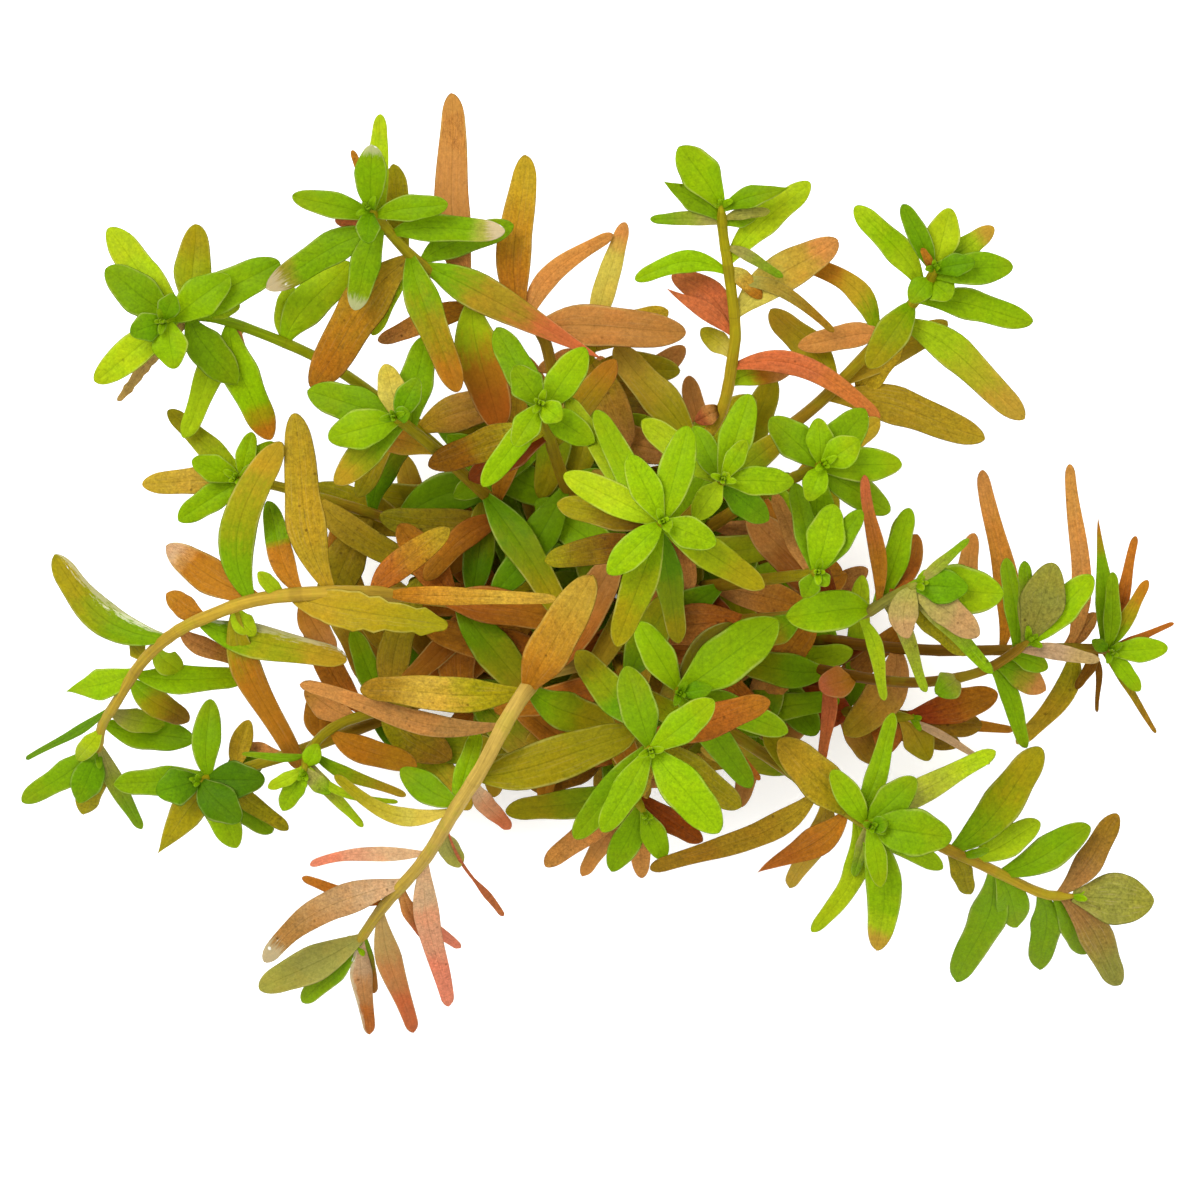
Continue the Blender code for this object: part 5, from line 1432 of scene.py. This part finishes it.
print(len(leaf.tree.nodes), "nodes with the colours")

# %% [markdown]
# A dark line marks the midrib. Faint side veins leave it at a slant, and one vein runs along each half.
# The edge is a thin dark line, with a pale rim inside it on fresh leaves.

# %% Veins and rims
VEIN_SHADE = (0.44, 0.5, 0.3, 1)
PALE_RIM = (0.50, 0.48, 0.16, 1)

rib = 1 - leaf.smooth(from_rib, 0.010, 0.048)
vein_wave = (s * 62.0 - from_rib * 9.0 + fine * 3.0).math("SINE")
side_veins = leaf.smooth(vein_wave, 0.72, 1.0) * leaf.smooth(from_rib, 0.08, 0.2)
long_veins = 1 - leaf.smooth((from_rib - 0.40 + (fine - 0.5) * 0.06).size(), 0.005, 0.05)
darker = leaf.mix(1.0, colour, VEIN_SHADE, "MULTIPLY")
colour = leaf.mix(rib * 0.5 * (1 - s * 0.45) + side_veins * 0.12 + long_veins * 0.14, colour, darker)
edge = from_rib + leaf.smooth(s, 0.93, 1.0) * 0.30 + (fine - 0.5) * 0.12
pale_rim = leaf.smooth(edge, 0.84, 0.94) * (1 - leaf.smooth(edge, 0.97, 1.0))
pale_rim = pale_rim * leaf.smooth(broad, 0.36, 0.6) * (1 - spotted)
colour = leaf.mix(pale_rim * 0.34, colour, PALE_RIM)
colour = leaf.mix(leaf.smooth(edge, 0.955, 1.03) * 0.6, colour, darker)
print(len(leaf.tree.nodes), "nodes with the veins")

# %% [markdown]
# Old leaves have brown specks, and a few are cracked. Where tissue has begun to soften, along one edge
# or at the tip, it is glassy and pale and has small near-white specks.

# %% Wear and softened patches
SPECK = (0.040, 0.016, 0.002, 1)
CRACK = (0.085, 0.024, 0.004, 1)
GLASSY = (0.45, 0.41, 0.23, 1)
NEAR_WHITE = (0.80, 0.80, 0.72, 1)

crack_line = 1 - leaf.smooth((streak - 0.5).size(), 0.004, 0.022)
cracks = crack_line * leaf.number("cracked") * leaf.smooth(broad, 0.44, 0.56)
colour = leaf.mix(cracks * 0.85, colour, CRACK)
dots = leaf.node("ShaderNodeTexVoronoi", None, {"Vector": place, "Scale": 640.0}, result="Distance")
specks = (1 - leaf.smooth(dots, 0.05, 0.14)) * leaf.smooth(broad + spotted * 0.34, 0.62, 0.80)
colour = leaf.mix(specks * 0.65, colour, SPECK)
wet = leaf.number("wet")
soft_edge = leaf.smooth(u * wet * 0.8 + (streak - 0.5) * 1.6 + (fine - 0.5) * 0.3, 0.42, 0.66) * wet.size()
soft_tip = leaf.smooth(s + (streak - 0.5) * 0.3, 0.82, 0.92) * leaf.number("white_tip")
patch = soft_edge.math("MAXIMUM", soft_tip)
colour = leaf.mix(patch * 0.6, colour, GLASSY)
# Small near-white specks inside the softened patches.
white_specks = (1 - leaf.smooth(dots, 0.16, 0.20)) * leaf.smooth(patch, 0.5, 0.9)
colour = leaf.mix(white_specks * 0.8, colour, NEAR_WHITE)
print(len(leaf.tree.nodes), "nodes with the wear")

# %% Finish the leaf tissue
LIGHT_THROUGH_LEAF = 0.25

leaf.feed("Base Color", colour)
leaf.feed("Roughness", 0.52 - patch * 0.32 + (fine - 0.5) * 0.16)
leaf.feed("Coat Weight", patch * 0.5)
leaf.feed("Specular IOR Level", 0.05)
height = fine * 0.6 + grain * 0.3 - rib * 0.9 - side_veins * 0.3 - long_veins * 0.3
leaf.relief(height, 0.3, 0.00012)
leaf.let_light_through(LIGHT_THROUGH_LEAF, "glow_colour")
print(len(leaf.tree.nodes), "nodes in", leaf.material.name)

# %% [markdown]
# ## Stem tissue
# The stem's colour goes from its cut end's to its tip's. On it come fibres that run along the stem,
# green clouds and a darker scar round each joint.

# %% The stem tissue
STEM_GREEN = (0.21, 0.22, 0.005, 1)
STEM_SCAR = (0.10, 0.05, 0.006, 1)
LIGHT_THROUGH_STEM = 0.15

stem = Tissue("stem_tissue")
place = stem.node("ShaderNodeTexCoord", result="Object")
broad = stem.noise(place, 320.0)
fine = stem.noise(place, 1700.0, 4.0, 0.7)
lengthwise = stem.joined(stem.number("side_one"), stem.number("side_two"), stem.number("along_stem") * 4.0)
fibres = stem.noise(lengthwise, 3.2, 4.0, 0.6)
shade = 1.02 + (broad - 0.5) * 0.6 + (fine - 0.5) * 0.4 + (fibres - 0.5) * 1.3
colour = stem.dimmed(stem.colour("body_colour"), shade)
colour = stem.mix(stem.smooth(broad, 0.5, 0.66) * 0.35, colour, STEM_GREEN)
scar = stem.smooth(stem.number("joint") + (fine - 0.5) * 0.5, 0.86, 1.04)
colour = stem.mix(scar * 0.3, colour, STEM_SCAR)
stem.feed("Base Color", colour)
stem.feed("Roughness", 0.45 + (fine - 0.5) * 0.2)
stem.feed("Specular IOR Level", 0.06)
stem.relief(fine + fibres * 2.0, 0.35, 0.00015)
stem.let_light_through(LIGHT_THROUGH_STEM, "body_colour")
print(len(stem.tree.nodes), "nodes in", stem.material.name)

# %% [markdown]
# ## Dress the shoots
# Each shoot gets two pieces, its stem and its leaves, which together stand for its solid.

# %% Stems and leaves
def put_piece(name, mesh, tissue, node):
    """Makes a piece that stands for a solid of the frame and moves with it."""
    piece = bpy.data.objects.new(name, mesh)
    bpy.context.scene.collection.objects.link(piece)
    mesh.materials.append(tissue.material)
    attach(piece, "root")
    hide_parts(node)
    return piece


def bud_tint(leaves):
    """A dark shoot has dark buds. Its youngest leaf tells."""
    _, youngest = min(leaves, key=lambda row: row[0][0])
    return "dark_green" if words_green(youngest) and "dark" in youngest else "green_bright"


triangles = 0
for number, (name, shoot) in enumerate(SHOOTS.items()):
    laid[name] += bud_leaves(paths[name], number, bud_tint(shoot["leaves"]))
    joints = sorted({numbers[0] for numbers, _ in shoot["leaves"]})
    tint = STEM_TINTS.get(name, USUAL_STEM)
    stem_form = stem_mesh(name + "_stem", paths[name], *shoot["thickness"], joints, tint)
    leaf_form = leaf_mesh(name + "_leaves", laid[name])
    put_piece(name + "_stem", stem_form, stem, name)
    put_piece(name + "_leaves", leaf_form, leaf, name)
    triangles += 2 * len(stem_form.polygons) + 2 * len(leaf_form.polygons)
print("about", triangles, "triangles in stems and leaves")

# %% [markdown]
# ## Floor, light and camera
# The bunch stands on a plain white surface under a large soft light, and the camera looks straight down
# on it from a metre up, as in the photo. World light fills the shade between the leaves.

# %% Floor
FLOOR_CORNERS = [(-3, -3, 0), (3, -3, 0), (3, 3, 0), (-3, 3, 0)]
floor_mesh = bpy.data.meshes.new("floor")
floor_mesh.from_pydata(FLOOR_CORNERS, [], [(0, 1, 2, 3)])
floor = bpy.data.objects.new("floor", floor_mesh)
floor.location.z = -0.0002
bpy.context.scene.collection.objects.link(floor)
paper = Tissue("floor_paper")
paper.feed("Base Color", (0.94, 0.94, 0.935, 1))
paper.feed("Roughness", 0.9)
paper.feed("Emission Color", (1, 1, 1, 1))
paper.feed("Emission Strength", 0.22)
floor_mesh.materials.append(paper.material)

# %% Light
world = bpy.data.worlds.new("studio")
bpy.context.scene.world = world
world.use_nodes = True
sky = world.node_tree.nodes["Background"]
sky.inputs["Color"].default_value = (1, 1, 1, 1)
sky.inputs["Strength"].default_value = 1.12


def soft_light(name, place, size, power):
    """A round area light that shines at the bunch."""
    lamp = bpy.data.lights.new(name, "AREA")
    lamp.shape = "DISK"
    lamp.size = size
    lamp.energy = power
    holder = bpy.data.objects.new(name, lamp)
    holder.location = place
    holder.rotation_euler = (-Vector(place)).to_track_quat("-Z", "Y").to_euler()
    bpy.context.scene.collection.objects.link(holder)


soft_light("light_above_left", (-0.5, 0.45, 1.1), 0.7, 16.0)
soft_light("light_above_right", (0.7, -0.3, 1.0), 0.9, 4.0)
print(len(bpy.data.lights), "lamps")

# %% Camera
view = bpy.data.cameras.new("camera_above")
view.sensor_width = 36
view.lens = 300
view.clip_end = 10
camera = bpy.data.objects.new("camera_above", view)
camera.location = (-MIDDLE_X * MM, -MIDDLE_Y * MM, EYE_HEIGHT * MM)
bpy.context.scene.collection.objects.link(camera)
bpy.context.scene.camera = camera
bpy.context.scene.view_settings.view_transform = "Standard"
print("the camera is", round(camera.location.z, 2), "m up")
